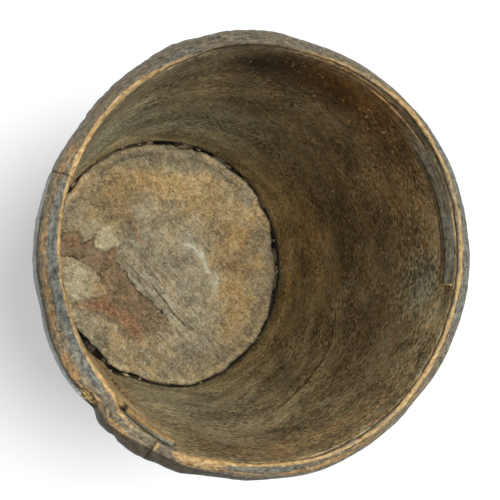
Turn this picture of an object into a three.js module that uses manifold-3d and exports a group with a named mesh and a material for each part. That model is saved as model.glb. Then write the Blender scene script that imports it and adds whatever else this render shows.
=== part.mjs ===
// A bucket of thick rawhide. One sheet is rolled into the wall and sewn where its ends lap. A disc
// with a turned-down flange is sewn in as the bottom, and a bundle of grass stems under two strips
// of hide stiffens the mouth. Millimetres, +Z up, origin on the ground at the middle of the base.
// Angles are in degrees about +Z, counted from +X.

import * as THREE from 'three';
import Module from 'manifold-3d';

const wasm = await Module();
wasm.setup();

// Overall form. Radii are to the inside of the wall sheet.
const height = 315;
const mouthRadius = 136.5;
const baseRadius = 119.5;

// Hand-made roundness: each lobe pushes the outline out by its rise at its angle.
const mouthLobes = [{ count: 2, rise: 0.9, at: 4 }, { count: 3, rise: 1.0, at: 35 }];
const baseLobes = [{ count: 2, rise: 2.5, at: 100 }];

// The foot is pressed flat beside the lap. The flat fades out at its reach, an angle to either side.
const flatDepth = 7;
const flatAt = 232;
const flatReach = 52;

// The wall sheet and its lap, where the outer end of the sheet lies over the inner end.
const sheetThickness = 4;
const lapOuterEnd = 225.5;
const lapWidth = 16;
const lapSlant = 4;
const lapLead = 6;
const lapEase = 14;
const tabRise = 3.6;
const tabRamp = 1.2;
const tabLead = 0.8;
const notchWidth = 2.4;
const notchDepth = 6;

// The rim: a core of stems against the wall, bound by two strips of hide that butt at two joints.
const coreWidth = 7.5;
const coreHeight = 12;
const coreDrop = 12;
const coreStart = 290;
const coreEndGap = 1.5;
const bindingThickness = 2;
const bindingSkirt = 13;
const buttJoint = 161.5;
const lapJoint = 236.5;
const jointGap = 0.8;
const wornAngle = 216.8;
const wornWidth = 12;
const wornHeight = 9;
const wornRise = 4;

// The bundle is uneven by hand: each swell adds its rise to the bundle's width at its angle, fading
// out at its reach to either side.
const bundleSwells = [
  { at: 199, reach: 34, rise: 2.8 },
  { at: 208, reach: 14, rise: 1.5 },
  { at: 140, reach: 24, rise: -3.4 },
  { at: 63, reach: 36, rise: -2.3 },
  { at: 96, reach: 14, rise: 1 },
  { at: 308, reach: 24, rise: -1.1 },
  { at: 352, reach: 16, rise: 1.3 },
];

// A bent strip sprung inside the mouth, along the part of the rim that needed it.
const hoopThickness = 2.6;
const hoopHeight = 14;
const hoopStart = 350.8;
const hoopSweep = 84;
const hoopDropAtStart = 9;
const hoopDropAtEnd = 12;
const hoopCorner = 1;

// The bottom disc, its flange and the strip packed beside it.
const discThickness = 4;
const discTop = 16;
const discSag = 2.5;
const discEdgeGap = 2.7;
const discEdgeRound = 1.5;
const flangeThickness = 3.5;
const flangeFoot = 2.5;
const packingThickness = 2;
const packingFoot = 2.5;
const packingDrop = 4;
const packingStart = 243;
const packingSweep = 147;

// Thongs: flat strips in a running stitch, long outside and short inside.
const thongWidth = 4;
const thongThickness = 1.2;
const baseStitchCount = 28;
const baseStitchShare = 0.6;
const baseStitchHeight = 7.5;
const seamStitchCount = 13;
const seamStitchShare = 0.7;
const seamMargin = 12;

// Clearances.
const gap = 0.35;
const slotClearance = 0.3;
const thongClearance = 0.6;

// Smoothness of the facets. The step is an angle that divides a whole turn.
const facetStep = 6;
const lapFineness = 4;
const wallRows = 2;
const coreSides = 8;

const degree = Math.PI / 180;
const mix = THREE.MathUtils.lerp;
const smoothstep = THREE.MathUtils.smoothstep;
const up = new THREE.Vector3(0, 0, 1);

const lapStep = sheetThickness + gap;
const sheetTop = height - bindingThickness - gap;

// Where things are.

function lobed(lobes, angle) {
  return lobes.reduce((sum, lobe) => sum + lobe.rise * Math.cos(lobe.count * (angle - lobe.at) * degree), 0);
}

// One at an angle, fading to nothing at a reach to either side of it.
function near(angle, middle, reach) {
  return smoothstep(Math.cos((angle - middle) * degree), Math.cos(reach * degree), 1);
}

function innerRadius(angle, z) {
  const atBase = baseRadius + lobed(baseLobes, angle) - flatDepth * near(angle, flatAt, flatReach);
  const atMouth = mouthRadius + lobed(mouthLobes, angle);
  return mix(atBase, atMouth, z / height);
}

// The lap leans a little, so its angles shift towards the ground.
function slant(z) {
  return lapSlant * (1 - z / height);
}

// How far the lap pushes out whatever lies round the sheet: nothing, then up, along and down again.
function lapBulge(angle, z) {
  const turn = THREE.MathUtils.euclideanModulo(angle + slant(z) - lapOuterEnd + 180, 360) - 180;
  const rise = smoothstep(turn, -lapLead, -tabRamp);
  const fall = smoothstep(turn, lapWidth + 2, lapWidth + 2 + lapEase);
  return lapStep * (rise - fall);
}

function outerRadius(angle, z) {
  return innerRadius(angle, z) + sheetThickness + lapBulge(angle, z);
}

// The flange is upright and clears the wall at the ground, where the wall is narrowest.
function discRadius(angle) {
  return innerRadius(angle, 0) - discEdgeGap;
}

function at(angle, radius, z) {
  return new THREE.Vector3(radius * Math.cos(angle * degree), radius * Math.sin(angle * degree), z);
}

function tangent(angle) {
  return new THREE.Vector3(-Math.sin(angle * degree), Math.cos(angle * degree), 0);
}

// Angles from start to end, counted from the lap's outer end, on one set of facets that all pieces
// share, so that they nest. The facets are finer over the lap.
function facets(start, end) {
  const fine = facetStep / lapFineness;
  const margin = fine / 3;
  const stations = [start];
  for (let n = Math.ceil((start + margin) / fine); n * fine < end - margin; n += 1) {
    const turn = THREE.MathUtils.euclideanModulo(n * fine + lapLead, 360) - lapLead;
    const overLap = turn < lapWidth + lapEase + facetStep;
    if (overLap || n % lapFineness === 0) stations.push(n * fine);
  }
  return [...stations, end];
}

function anglesAround(start, end) {
  return facets(start - lapOuterEnd, end - lapOuterEnd).map((turn) => turn + lapOuterEnd);
}

// Closed skins through rings of points.

function capFaces(ring) {
  const normal = new THREE.Vector3();
  ring.forEach((point, i) => normal.add(point.clone().cross(ring[(i + 1) % ring.length])));
  normal.normalize();
  const right = ring[1].clone().sub(ring[0]).normalize();
  const over = normal.clone().cross(right);
  const flat = ring.map((point) => new THREE.Vector2(point.dot(right), point.dot(over)));
  return THREE.ShapeUtils.triangulateShape(flat, []).map((face) => {
    const corners = face.map((index) => flat[index]);
    return THREE.ShapeUtils.area(corners) > 0 ? face : [face[2], face[1], face[0]];
  });
}

function signedVolume(points, faces) {
  return faces.reduce((sum, [a, b, c]) => {
    return sum + points[a].dot(points[b].clone().cross(points[c])) / 6;
  }, 0);
}

function loft(rings, closed = false) {
  const size = rings[0].length;
  const points = rings.flat();
  const faces = [];
  const spans = closed ? rings.length : rings.length - 1;
  for (let i = 0; i < spans; i += 1) {
    const next = (i + 1) % rings.length;
    for (let j = 0; j < size; j += 1) {
      const k = (j + 1) % size;
      faces.push([i * size + j, i * size + k, next * size + k]);
      faces.push([i * size + j, next * size + k, next * size + j]);
    }
  }
  if (!closed) {
    const last = (rings.length - 1) * size;
    capFaces(rings[0]).forEach(([a, b, c]) => faces.push([c, b, a]));
    capFaces(rings[rings.length - 1]).forEach(([a, b, c]) => faces.push([a + last, b + last, c + last]));
  }
  const outward = signedVolume(points, faces) > 0;
  const geometry = new THREE.BufferGeometry().setFromPoints(points);
  geometry.setIndex(faces.flatMap(([a, b, c]) => (outward ? [a, b, c] : [c, b, a])));
  geometry.computeVertexNormals();
  return geometry;
}

// Cutting.

function toSolid(geometry) {
  const vertProperties = new Float32Array(geometry.attributes.position.array);
  const triVerts = new Uint32Array(geometry.index.array);
  return new wasm.Manifold(new wasm.Mesh({ numProp: 3, vertProperties, triVerts }));
}

function toGeometry(solid) {
  const mesh = solid.getMesh();
  const geometry = new THREE.BufferGeometry();
  geometry.setAttribute('position', new THREE.BufferAttribute(new Float32Array(mesh.vertProperties), 3));
  geometry.setIndex(new THREE.BufferAttribute(new Uint32Array(mesh.triVerts), 1));
  geometry.computeVertexNormals();
  return geometry;
}

function cut(geometry, cutters) {
  const away = cutters.map(toSolid).reduce((sum, cutter) => sum.add(cutter));
  return toGeometry(toSolid(geometry).subtract(away));
}

// A straight block from one point to another, with its section along two directions.
function block(from, to, wide, width, deep, depth) {
  const corners = [[-0.5, -0.5], [0.5, -0.5], [0.5, 0.5], [-0.5, 0.5]];
  return loft([from, to].map((centre) => corners.map(([i, j]) => {
    return centre.clone().addScaledVector(wide, i * width).addScaledVector(deep, j * depth);
  })));
}

// Thongs. A stitch line is given by where it runs outside and inside at a share of its length.

function stitchPoints(count, share, outside, inside) {
  return Array.from({ length: count }, (_, i) => {
    const start = i / count;
    const turn = (i + share) / count;
    const end = (i + 1) / count;
    return [outside(start), outside((start + turn) / 2), outside(turn), inside(turn), inside(end)];
  }).flat();
}

// Shares of the length where the thong goes through.
function stitchPasses(count, share, closed) {
  const passes = Array.from({ length: count }, (_, i) => [(i + share) / count, (i + 1) / count]).flat();
  return closed ? passes : passes.slice(0, -1);
}

// A flat strip along a path. The strip's width lies along side(i), and its corners are mitred.
function strap(path, side, closed) {
  const rings = path.map((point, i) => {
    const before = closed || i > 0 ? path[(i + path.length - 1) % path.length] : null;
    const after = closed || i < path.length - 1 ? path[(i + 1) % path.length] : null;
    const arriving = point.clone().sub(before ?? point).normalize();
    const leaving = (after ?? point).clone().sub(point).normalize();
    const along = arriving.clone().add(leaving).normalize();
    const across = side(i);
    const normal = across.clone().cross(along).normalize();
    const mitre = before && after ? 1 / along.dot(leaving) : 1;
    const half = (thongThickness / 2) * mitre;
    return [[-1, -1], [1, -1], [1, 1], [-1, 1]].map(([i, j]) => {
      return point.clone().addScaledVector(across, (i * thongWidth) / 2).addScaledVector(normal, j * half);
    });
  });
  return loft(rings, closed);
}

function slotAt(outside, inside, wide, deep) {
  const outward = outside.clone().sub(inside).normalize().multiplyScalar(2);
  const width = thongWidth + 2 * slotClearance;
  const depth = thongThickness + 2 * slotClearance;
  return block(inside.clone().sub(outward), outside.clone().add(outward), wide, width, deep, depth);
}

// The wall sheet, swept from its outer end once round to its inner end, which ends under the lap
// and stands proud of the rim as a square tab.

function wallSheet(slots) {
  const levels = Array.from({ length: wallRows + 1 }, (_, i) => i / wallRows);
  const wholeTurn = 360;
  const rampStart = wholeTurn - tabLead;
  const rampEnd = rampStart + tabRamp;
  const turns = [
    ...facets(0, rampStart),
    ...facets(rampEnd, wholeTurn + lapWidth),
  ];
  const rings = turns.map((turn) => {
    const top = sheetTop + tabRise * smoothstep(turn, rampStart, rampEnd);
    const place = (level, outward) => {
      const z = level * top;
      const angle = lapOuterEnd - slant(z) + turn;
      const step = turn < wholeTurn / 2 ? lapBulge(angle, z) : 0;
      return at(angle, innerRadius(angle, z) + step + outward, z);
    };
    const inner = levels.map((level) => place(level, 0));
    const outer = levels.map((level) => place(level, sheetThickness)).reverse();
    return [...inner, ...outer];
  });
  return cut(loft(rings), [notch(), ...slots]);
}

// A nick in the sheet's edge where the tab starts.
function notch() {
  const angle = lapOuterEnd - tabLead;
  const inside = at(angle, mouthRadius - sheetThickness, height);
  const outside = at(angle, mouthRadius + sheetThickness * 2, height);
  return block(inside, outside, up, 2 * (notchDepth - tabRise), tangent(angle), notchWidth);
}

// The rim's section, as distances out from the sheet's inner face and heights.

const skirtTop = height - coreDrop - coreHeight / 2 - 2 * bindingThickness;
const skirtFoot = skirtTop - bindingSkirt;

function coreEllipse(grow, angle) {
  return [
    sheetThickness + gap + coreWidth / 2 + (coreWidth / 2 + grow) * Math.cos(angle * degree),
    height - coreDrop + (coreHeight / 2 + grow) * Math.sin(angle * degree),
  ];
}

function bindingSection() {
  const wallFace = sheetThickness + gap;
  const under = sheetTop + gap;
  const arc = (grow) => [1, 0, -1].map((corner) => coreEllipse(grow, (corner * 360) / coreSides));
  const skirt = [[wallFace, skirtTop], [wallFace, skirtFoot]];
  const innerSkin = [[gap, under], [wallFace, under], ...arc(gap), ...skirt];
  const outerSkin = [
    [gap, under + bindingThickness * 0.6],
    [gap + bindingThickness * 0.5, under + bindingThickness],
    [wallFace + bindingThickness * 0.3, under + bindingThickness * 0.8],
    ...arc(gap + bindingThickness),
    [wallFace + bindingThickness, skirtTop - bindingThickness],
    [wallFace + bindingThickness, skirtFoot],
  ];
  return [...innerSkin, ...outerSkin.reverse()];
}

function bundleSwell(angle) {
  return bundleSwells.reduce((sum, swell) => sum + swell.rise * near(angle, swell.at, swell.reach), 0);
}

// Carries a rim section round the mouth, out over the lap where that lies beneath, and wider or
// narrower where the bundle is.
function rimSweep(section, start, end) {
  const wallFace = sheetThickness + gap;
  const rings = anglesAround(start, end).map((angle) => section.map(([out, z]) => {
    const share = THREE.MathUtils.clamp((out - wallFace) / coreWidth, 0, 1);
    return at(angle, innerRadius(angle, z) + lapBulge(angle, z) + out + share * bundleSwell(angle), z);
  }));
  return loft(rings);
}

function rimCore() {
  const section = Array.from({ length: coreSides }, (_, i) => coreEllipse(0, (360 * i) / coreSides));
  const endGap = coreEndGap / mouthRadius / degree;
  return rimSweep(section, coreStart, coreStart + 360 - endGap);
}

const jointAngle = jointGap / 2 / mouthRadius / degree;

function longBinding() {
  return rimSweep(bindingSection(), lapJoint + jointAngle, buttJoint + 360 - jointAngle);
}

// The short strip has a worn hole on its shoulder, where the core shows.
function shortBinding() {
  const strip = rimSweep(bindingSection(), buttJoint + jointAngle, lapJoint - jointAngle);
  const z = height - coreDrop + wornRise;
  const face = outerRadius(wornAngle, z) + coreWidth + bundleSwell(wornAngle) + 2 * gap;
  const inside = at(wornAngle, face - coreWidth / 2, z);
  const outside = at(wornAngle, face + 2 * bindingThickness, z);
  return cut(strip, [block(inside, outside, up, wornHeight, tangent(wornAngle), wornWidth)]);
}

// The strip inside the mouth dips as it goes round.
function innerHoop() {
  const rings = anglesAround(hoopStart, hoopStart + hoopSweep).map((angle) => {
    const share = (angle - hoopStart) / hoopSweep;
    const middle = height - mix(hoopDropAtStart, hoopDropAtEnd, share);
    const top = middle + hoopHeight / 2;
    const foot = middle - hoopHeight / 2;
    const corners = [
      [0, foot],
      [0, top],
      [hoopThickness - hoopCorner, top],
      [hoopThickness, top - hoopCorner],
      [hoopThickness, foot + hoopCorner],
      [hoopThickness - hoopCorner, foot],
    ];
    return corners.map(([inward, z]) => at(angle, innerRadius(angle, z) - gap - inward, z));
  });
  return loft(rings);
}

// The bottom disc. Its rings run out over the top, down the flange and back underneath.
function baseDisc(slots) {
  const underside = discTop - discThickness;
  const sagAt = (share) => discSag * (1 - share * share);
  const profile = [
    [0.08, 0, discTop - sagAt(0.08)],
    [0.5, 0, discTop - sagAt(0.5)],
    [0.85, 0, discTop - sagAt(0.85)],
    [1, -discEdgeRound, discTop],
    [1, 0, discTop - discEdgeRound],
    [1, 0, flangeFoot],
    [1, -flangeThickness, flangeFoot],
    [1, -flangeThickness, underside],
    [0.5, 0, underside - sagAt(0.5)],
    [0.08, 0, underside - sagAt(0.08)],
  ];
  const sides = 360 / facetStep;
  const rings = profile.map(([share, inset, z]) => Array.from({ length: sides }, (_, i) => {
    const angle = (360 * i) / sides;
    return at(angle, discRadius(angle) * share + inset, z);
  }));
  return cut(loft(rings), slots);
}

function basePacking(slots) {
  const rings = anglesAround(packingStart, packingStart + packingSweep).map((angle) => {
    const face = discRadius(angle) + gap;
    const top = discTop - packingDrop;
    const corners = [[0, packingFoot], [packingThickness, packingFoot], [packingThickness, top], [0, top]];
    return corners.map(([out, z]) => at(angle, face + out, z));
  });
  return cut(loft(rings), slots);
}

// The stitching round the base, through the wall, the packing and the flange.

const baseStitches = {
  outside: (share) => {
    const angle = 360 * share;
    const radius = outerRadius(angle, baseStitchHeight) + thongClearance + thongThickness / 2;
    return at(angle, radius, baseStitchHeight);
  },
  inside: (share) => {
    const angle = 360 * share;
    return at(angle, discRadius(angle) - flangeThickness - gap - thongThickness / 2, baseStitchHeight);
  },
  slots() {
    return stitchPasses(baseStitchCount, baseStitchShare, true).map((share) => {
      return slotAt(this.outside(share), this.inside(share), up, tangent(360 * share));
    });
  },
  thong() {
    const path = stitchPoints(baseStitchCount, baseStitchShare, this.outside, this.inside);
    return strap(path, () => up, true);
  },
};

// The stitching up the lap, through both ends of the sheet, from above the disc to the binding.

const seamFoot = discTop + seamMargin;
const seamHead = skirtFoot - seamMargin;

function seamAngle(z) {
  return lapOuterEnd + lapWidth / 2 - slant(z);
}

const seamStitches = {
  heightAt: (share) => mix(seamFoot, seamHead, share),
  outside: (share) => {
    const z = seamStitches.heightAt(share);
    const angle = seamAngle(z);
    return at(angle, outerRadius(angle, z) + thongClearance + thongThickness / 2, z);
  },
  inside: (share) => {
    const z = seamStitches.heightAt(share);
    const angle = seamAngle(z);
    return at(angle, innerRadius(angle, z) - gap - thongThickness / 2, z);
  },
  across: tangent(seamAngle((seamFoot + seamHead) / 2)),
  slots() {
    return stitchPasses(seamStitchCount, seamStitchShare, false).map((share) => {
      return slotAt(this.outside(share), this.inside(share), this.across, up);
    });
  },
  thong() {
    const path = stitchPoints(seamStitchCount, seamStitchShare, this.outside, this.inside);
    return strap(path.slice(0, -1), () => this.across, false);
  },
};

function piece(name, geometry, color, roughness) {
  const material = new THREE.MeshStandardMaterial({ color, roughness, metalness: 0 });
  const mesh = new THREE.Mesh(geometry, material);
  mesh.name = name;
  return mesh;
}

const baseSlots = baseStitches.slots();

const bucket = new THREE.Group();
bucket.name = 'rawhide_bucket';
bucket.add(
  piece('wall_sheet', wallSheet([...baseSlots, ...seamStitches.slots()]), '#54452f', 0.8),
  piece('seam_thong', seamStitches.thong(), '#8d7850', 0.7),
  piece('base_disc', baseDisc(baseSlots), '#8b7a5c', 0.85),
  piece('base_packing', basePacking(baseSlots), '#37322a', 0.95),
  piece('base_thong', baseStitches.thong(), '#9b8659', 0.7),
  piece('rim_core', rimCore(), '#b2935a', 0.9),
  piece('rim_binding_long', longBinding(), '#80705a', 0.65),
  piece('rim_binding_short', shortBinding(), '#74695a', 0.65),
  piece('inner_hoop', innerHoop(), '#64563e', 0.75),
);

export default bucket;
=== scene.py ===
import math

import bmesh
import bpy
import numpy as np
from mathutils import Matrix, Vector


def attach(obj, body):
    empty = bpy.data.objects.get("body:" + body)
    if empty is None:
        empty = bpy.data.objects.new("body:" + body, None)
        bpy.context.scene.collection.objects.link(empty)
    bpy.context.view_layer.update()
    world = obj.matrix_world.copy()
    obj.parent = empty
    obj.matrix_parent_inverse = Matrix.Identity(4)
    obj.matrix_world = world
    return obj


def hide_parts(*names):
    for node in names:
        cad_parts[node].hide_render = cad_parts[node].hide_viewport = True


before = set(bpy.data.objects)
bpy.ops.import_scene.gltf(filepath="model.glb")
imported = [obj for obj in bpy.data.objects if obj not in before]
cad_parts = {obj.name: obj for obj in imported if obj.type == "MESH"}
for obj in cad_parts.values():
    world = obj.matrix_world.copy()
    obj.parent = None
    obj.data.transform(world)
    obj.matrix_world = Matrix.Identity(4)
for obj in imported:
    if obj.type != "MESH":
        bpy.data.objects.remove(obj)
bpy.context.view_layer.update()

# The wall. One thick sheet of rawhide rolled into a tapering tube. Its outer end laps over its inner
# end, and the inner end stands proud of the mouth as a square tab. The grain runs round the wall, and
# years of use have left stains, scuffs and one deep crease on the inside.

MILLIMETRE = 0.001
HEIGHT = 0.315
MOUTH_RADIUS = 0.1365
BASE_RADIUS = 0.1195
MOUTH_LOBES = ((2, 0.0009, 4), (3, 0.0010, 35))
BASE_LOBES = ((2, 0.0025, 100),)
FLAT_DEPTH = 0.007
FLAT_AT = 232
FLAT_REACH = 52
SHEET = 0.004
GAP = 0.00035
BINDING = 0.002
LAP_START = 225.5
LAP_WIDTH = 16.0
LAP_BACK = LAP_WIDTH + 2
LAP_SLANT = 4
LAP_EASE = 14
LAP_STEP = SHEET + GAP
SHEET_TOP = HEIGHT - BINDING - GAP
TAB_RISE = 0.0036
TAB_START = 359.2
TAB_RAMP = 0.5
TAB_END = 375.0
NICK_DEPTH = 0.0035
ARRIS = 0.0011
WALL_COLUMNS = 420
WALL_ROWS = 190
ARRIS_ROWS = 6
FINE_SHARE = 0.24
FINE_SWEEP = 24
GRAIN_RADIUS = 0.128
WELD = 0.00002
KNOTS = 61


class Field:
    """A value that changes over a piece: one output of a node, on which sums are written as sums."""

    def __init__(self, tree, socket):
        self.tree = tree
        self.socket = socket

    def sum(self, operation, *others):
        return node(self.tree, "ShaderNodeMath", dict(enumerate((self, *others))), operation=operation)

    def __add__(self, other):
        return self.sum("ADD", other)

    def __sub__(self, other):
        return self.sum("SUBTRACT", other)

    def __rsub__(self, other):
        return node(self.tree, "ShaderNodeMath", {0: other, 1: self}, operation="SUBTRACT")

    def __mul__(self, other):
        return self.sum("MULTIPLY", other)

    def __truediv__(self, other):
        return self.sum("DIVIDE", other)

    def __rtruediv__(self, other):
        return node(self.tree, "ShaderNodeMath", {0: other, 1: self}, operation="DIVIDE")

    def __mod__(self, other):
        return self.sum("FLOORED_MODULO", other)

    __radd__ = __add__
    __rmul__ = __mul__


def node(tree, kind, slots=(), output=0, **settings):
    """Adds a node, fills its inputs with fields or plain values, and gives one of its outputs."""
    made = tree.nodes.new(kind)
    for name, value in settings.items():
        setattr(made, name, value)
    for key, value in dict(slots).items():
        if isinstance(value, Field):
            tree.links.new(value.socket, made.inputs[key])
        else:
            made.inputs[key].default_value = value
    return Field(tree, made.outputs[output])


def new_group(name, kind, inputs, outputs=("Geometry",)):
    """A node group with named sockets. An input is given as its usual value, or as "Vector"."""
    tree = bpy.data.node_groups.new(name, kind)
    for title, value in inputs.items():
        sort = {int: "Int", float: "Float", str: "Vector"}.get(type(value), "Material")
        made = tree.interface.new_socket(name=title, in_out="INPUT", socket_type="NodeSocket" + sort)
        if sort != "Vector":
            made.default_value = value
    for title in outputs:
        sort = "Geometry" if title == "Geometry" else "Float"
        tree.interface.new_socket(name=title, in_out="OUTPUT", socket_type="NodeSocket" + sort)
    source = tree.nodes.new("NodeGroupInput")
    return tree, {title: Field(tree, source.outputs[title]) for title in inputs}


def give(tree, **results):
    goal = tree.nodes.new("NodeGroupOutput")
    for title, value in results.items():
        tree.links.new(value.socket, goal.inputs[title])


def flat_grid(tree, columns, rows):
    """A grid of points, with how far each is along it, from 0, and across it, from its middle."""
    sizes = {"Size X": 1.0, "Size Y": 1.0, "Vertices X": columns, "Vertices Y": rows}
    split = tree.nodes.new("ShaderNodeSeparateXYZ")
    tree.links.new(node(tree, "GeometryNodeInputPosition").socket, split.inputs[0])
    along, across = (Field(tree, split.outputs[axis]) for axis in (0, 1))
    return node(tree, "GeometryNodeMeshGrid", sizes), along + 0.5, across


def turned_to(angle, radius, z):
    """A place on the bucket, from its angle, its distance from the middle and its height."""
    slots = {0: radius * cosine(angle), 1: radius * sine(angle), 2: z}
    return node(angle.tree, "ShaderNodeCombineXYZ", slots)


def moved_to(shape, place):
    return node(shape.tree, "GeometryNodeSetPosition", {"Geometry": shape, "Position": place})


def marked(shape, name, value, kind="FLOAT"):
    slots = {"Geometry": shape, "Name": name, "Value": value}
    return node(shape.tree, "GeometryNodeStoreNamedAttribute", slots, data_type=kind, domain="POINT")


def welded(shape):
    return node(shape.tree, "GeometryNodeMergeByDistance", {"Geometry": shape, "Distance": WELD})


def give_shape(shape, material):
    real = node(shape.tree, "GeometryNodeRealizeInstances", {"Geometry": shape})
    slots = {"Geometry": real, "Material": material}
    give(shape.tree, Geometry=node(shape.tree, "GeometryNodeSetMaterial", slots))


def ease(value, low, high):
    """A smooth step from 0 at low to 1 at high, for numbers and for node fields alike."""
    if isinstance(value, Field):
        slots = {0: value, 1: low, 2: high}
        return node(value.tree, "ShaderNodeMapRange", slots, interpolation_type="SMOOTHSTEP")
    share = np.clip((value - low) / (high - low), 0, 1)
    return share * share * (3 - 2 * share)


def clip(value, low=0.0, high=1.0):
    if isinstance(value, Field):
        return value.sum("MAXIMUM", low).sum("MINIMUM", high)
    return np.clip(value, low, high)


def cosine(angle):
    """Of an angle in degrees."""
    if isinstance(angle, Field):
        return (angle * math.radians(1)).sum("COSINE")
    return np.cos(np.radians(angle))


def sine(angle):
    return cosine(angle - 90)


def past(angle, mark):
    """How many degrees an angle lies past a mark, from -180 to 180."""
    return (angle - mark + 180) % 360 - 180


def near(angle, middle, reach):
    """One at an angle, fading to nothing at a reach to either side of it."""
    return ease(cosine(angle - middle), math.cos(math.radians(reach)), 1.0)


def ridge(distance, width):
    """One on a line, falling off softly to either side of it."""
    return np.exp(-(distance / width) ** 2)


def lobed(lobes, angle):
    return sum(cosine((angle - at) * count) * rise for count, rise, at in lobes)


def inner_radius(angle, z):
    """To the inside of the wall sheet, at an angle in degrees and a height."""
    foot = lobed(BASE_LOBES, angle) + BASE_RADIUS - near(angle, FLAT_AT, FLAT_REACH) * FLAT_DEPTH
    mouth = lobed(MOUTH_LOBES, angle) + MOUTH_RADIUS
    return foot + (mouth - foot) * (z / HEIGHT)


def slant(z):
    return (1 - z / HEIGHT) * LAP_SLANT


def hand_over(piece, name, slot):
    """Turns the piece's faces outwards, hangs it on the root body and hides the solid of the same name. The
    slot is not used.
    """
    face_outwards(piece)
    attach(piece, "root")
    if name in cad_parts:
        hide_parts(name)


def grow(name, tree, sizes, slot):
    """Runs a Geometry Nodes tree and keeps what it makes as a plain mesh."""
    piece = bpy.data.objects.new(name, bpy.data.meshes.new(name))
    bpy.context.scene.collection.objects.link(piece)
    shape = piece.modifiers.new("shape", "NODES")
    shape.node_group = tree
    sockets = {item.name: item for item in tree.interface.items_tree if item.item_type == "SOCKET"}
    for title, value in sizes.items():
        shape[sockets[title].identifier] = value
    plain = bpy.data.meshes.new_from_object(piece.evaluated_get(bpy.context.evaluated_depsgraph_get()))
    piece.modifiers.remove(shape)
    piece.data = plain
    plain.name = name
    hand_over(piece, name, slot)
    return piece


def face_outwards(piece):
    shell = bmesh.new()
    shell.from_mesh(piece.data)
    bmesh.ops.recalc_face_normals(shell, faces=shell.faces)
    shell.to_mesh(piece.data)
    shell.free()
    piece.data.shade_smooth()


def places(piece):
    flat = np.empty(len(piece.data.vertices) * 3, dtype=np.float32)
    piece.data.vertices.foreach_get("co", flat)
    return flat.reshape(-1, 3).astype(float)


def put(piece, points):
    piece.data.vertices.foreach_set("co", points.astype(np.float32).ravel())
    piece.data.update()


def read(piece, name):
    values = np.empty(len(piece.data.vertices), dtype=np.float32)
    piece.data.attributes[name].data.foreach_get("value", values)
    return values.astype(float)


def keep(piece, name, values):
    """Stores a value at each point, for the material to read."""
    kind = "FLOAT" if values.ndim == 1 else "FLOAT_VECTOR"
    layer = piece.data.attributes.new(name, kind, "POINT")
    layer.data.foreach_set("value" if kind == "FLOAT" else "vector", values.astype(np.float32).ravel())


def patchy(u, v, size, seed, layers=3):
    """Smooth random heights, about -1 to 1, over a surface: patches of the given size and finer ones."""
    total = 0
    for layer in range(layers):
        knots = np.random.default_rng(seed + layer).uniform(-1, 1, (KNOTS, KNOTS))
        x = u / size * 2 ** layer
        y = v / size * 2 ** layer
        i = np.floor(x).astype(int)
        j = np.floor(y).astype(int)
        s = ease(x - i, 0, 1)
        t = ease(y - j, 0, 1)
        below, above = (knots[i % KNOTS, row % KNOTS] * (1 - s) + knots[(i + 1) % KNOTS, row % KNOTS] * s
                        for row in (j, j + 1))
        total = total + (below * (1 - t) + above * t) * 0.5 ** layer
    return total


def beside(u, v, line):
    """Distance from points to a drawn line."""
    closest = np.full(np.shape(u), 1e9)
    for (u0, v0), (u1, v1) in zip(line, line[1:]):
        du = u1 - u0
        dv = v1 - v0
        share = np.clip(((u - u0) * du + (v - v0) * dv) / (du * du + dv * dv), 0, 1)
        closest = np.minimum(closest, np.hypot(u - u0 - share * du, v - v0 - share * dv))
    return closest


def spots(u, v, marks, apart=np.subtract):
    """Soft round marks, each given by its place, its two half widths and its strength."""
    return sum(strength * np.exp(-(apart(u, at_u) / wide) ** 2 - ((v - at_v) / tall) ** 2)
               for at_u, at_v, wide, tall, strength in marks)


def tint(code):
    """A colour code as the linear values that shaders take."""
    parts = [int(code[i:i + 2], 16) / 255 for i in (1, 3, 5)]
    return (*[p / 12.92 if p < 0.04045 else ((p + 0.055) / 1.055) ** 2.4 for p in parts], 1.0)


def noise(place, size, detail=4.0, rough=0.55, warp=0.0):
    slots = {"Vector": place, "Scale": 1 / size, "Detail": detail, "Roughness": rough, "Distortion": warp}
    return node(place.tree, "ShaderNodeTexNoise", slots)


def stretch(place, along, across=1.0):
    """Places for a pattern that is drawn out along the grain."""
    sizes = (along, across, 1.0)
    if isinstance(along, Field):
        sizes = node(place.tree, "ShaderNodeCombineXYZ", dict(enumerate(sizes)))
    return node(place.tree, "ShaderNodeVectorMath", {0: place, 1: sizes}, operation="MULTIPLY")


def over(below, above, mask, blend="MIX"):
    """Lays one colour over another where the mask is full."""
    slots = {0: mask, 6: below, 7: above}
    return node(mask.tree, "ShaderNodeMix", slots, output=2, data_type="RGBA", blend_type=blend)


# Hide grain: broad blotches, streaks along the grain, cracks and pores, at sizes in metres.
GRAIN, given = new_group("hide grain", "ShaderNodeTree", {
    "Place": "Vector", "Blotch Size": 0.05, "Streak Size": 0.004, "Streak Length": 6.0, "Pore Size": 0.001},
    ("Blotch", "Streak", "Mottle", "Grit", "Crack", "Height"))
streaked = stretch(given["Place"], 1 / given["Streak Length"])
streak = noise(streaked, given["Streak Size"], 7.0, 0.65, 0.3)
mottle = noise(given["Place"], given["Streak Size"] / 0.36, 6.0, 0.66, 0.8)
grit = noise(given["Place"], given["Pore Size"], 3.0, 0.7, 0.3)
vein = noise(streaked, given["Streak Size"] / 0.4, 5.0, 0.6, 1.2)
crack = 1 - ease((vein - 0.5).sum("ABSOLUTE"), 0.0, 0.035)
pore = node(GRAIN, "ShaderNodeTexVoronoi", {"Vector": given["Place"], "Scale": 1 / given["Pore Size"]})
give(GRAIN, Blotch=noise(given["Place"], given["Blotch Size"], 6.0, 0.6, 0.4), Streak=streak, Mottle=mottle,
     Grit=grit, Crack=crack,
     Height=streak * 0.4 + mottle * 0.35 + grit * 0.2 + ease(pore, 0.0, 0.6) * 0.15 - crack * 0.2)

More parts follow.
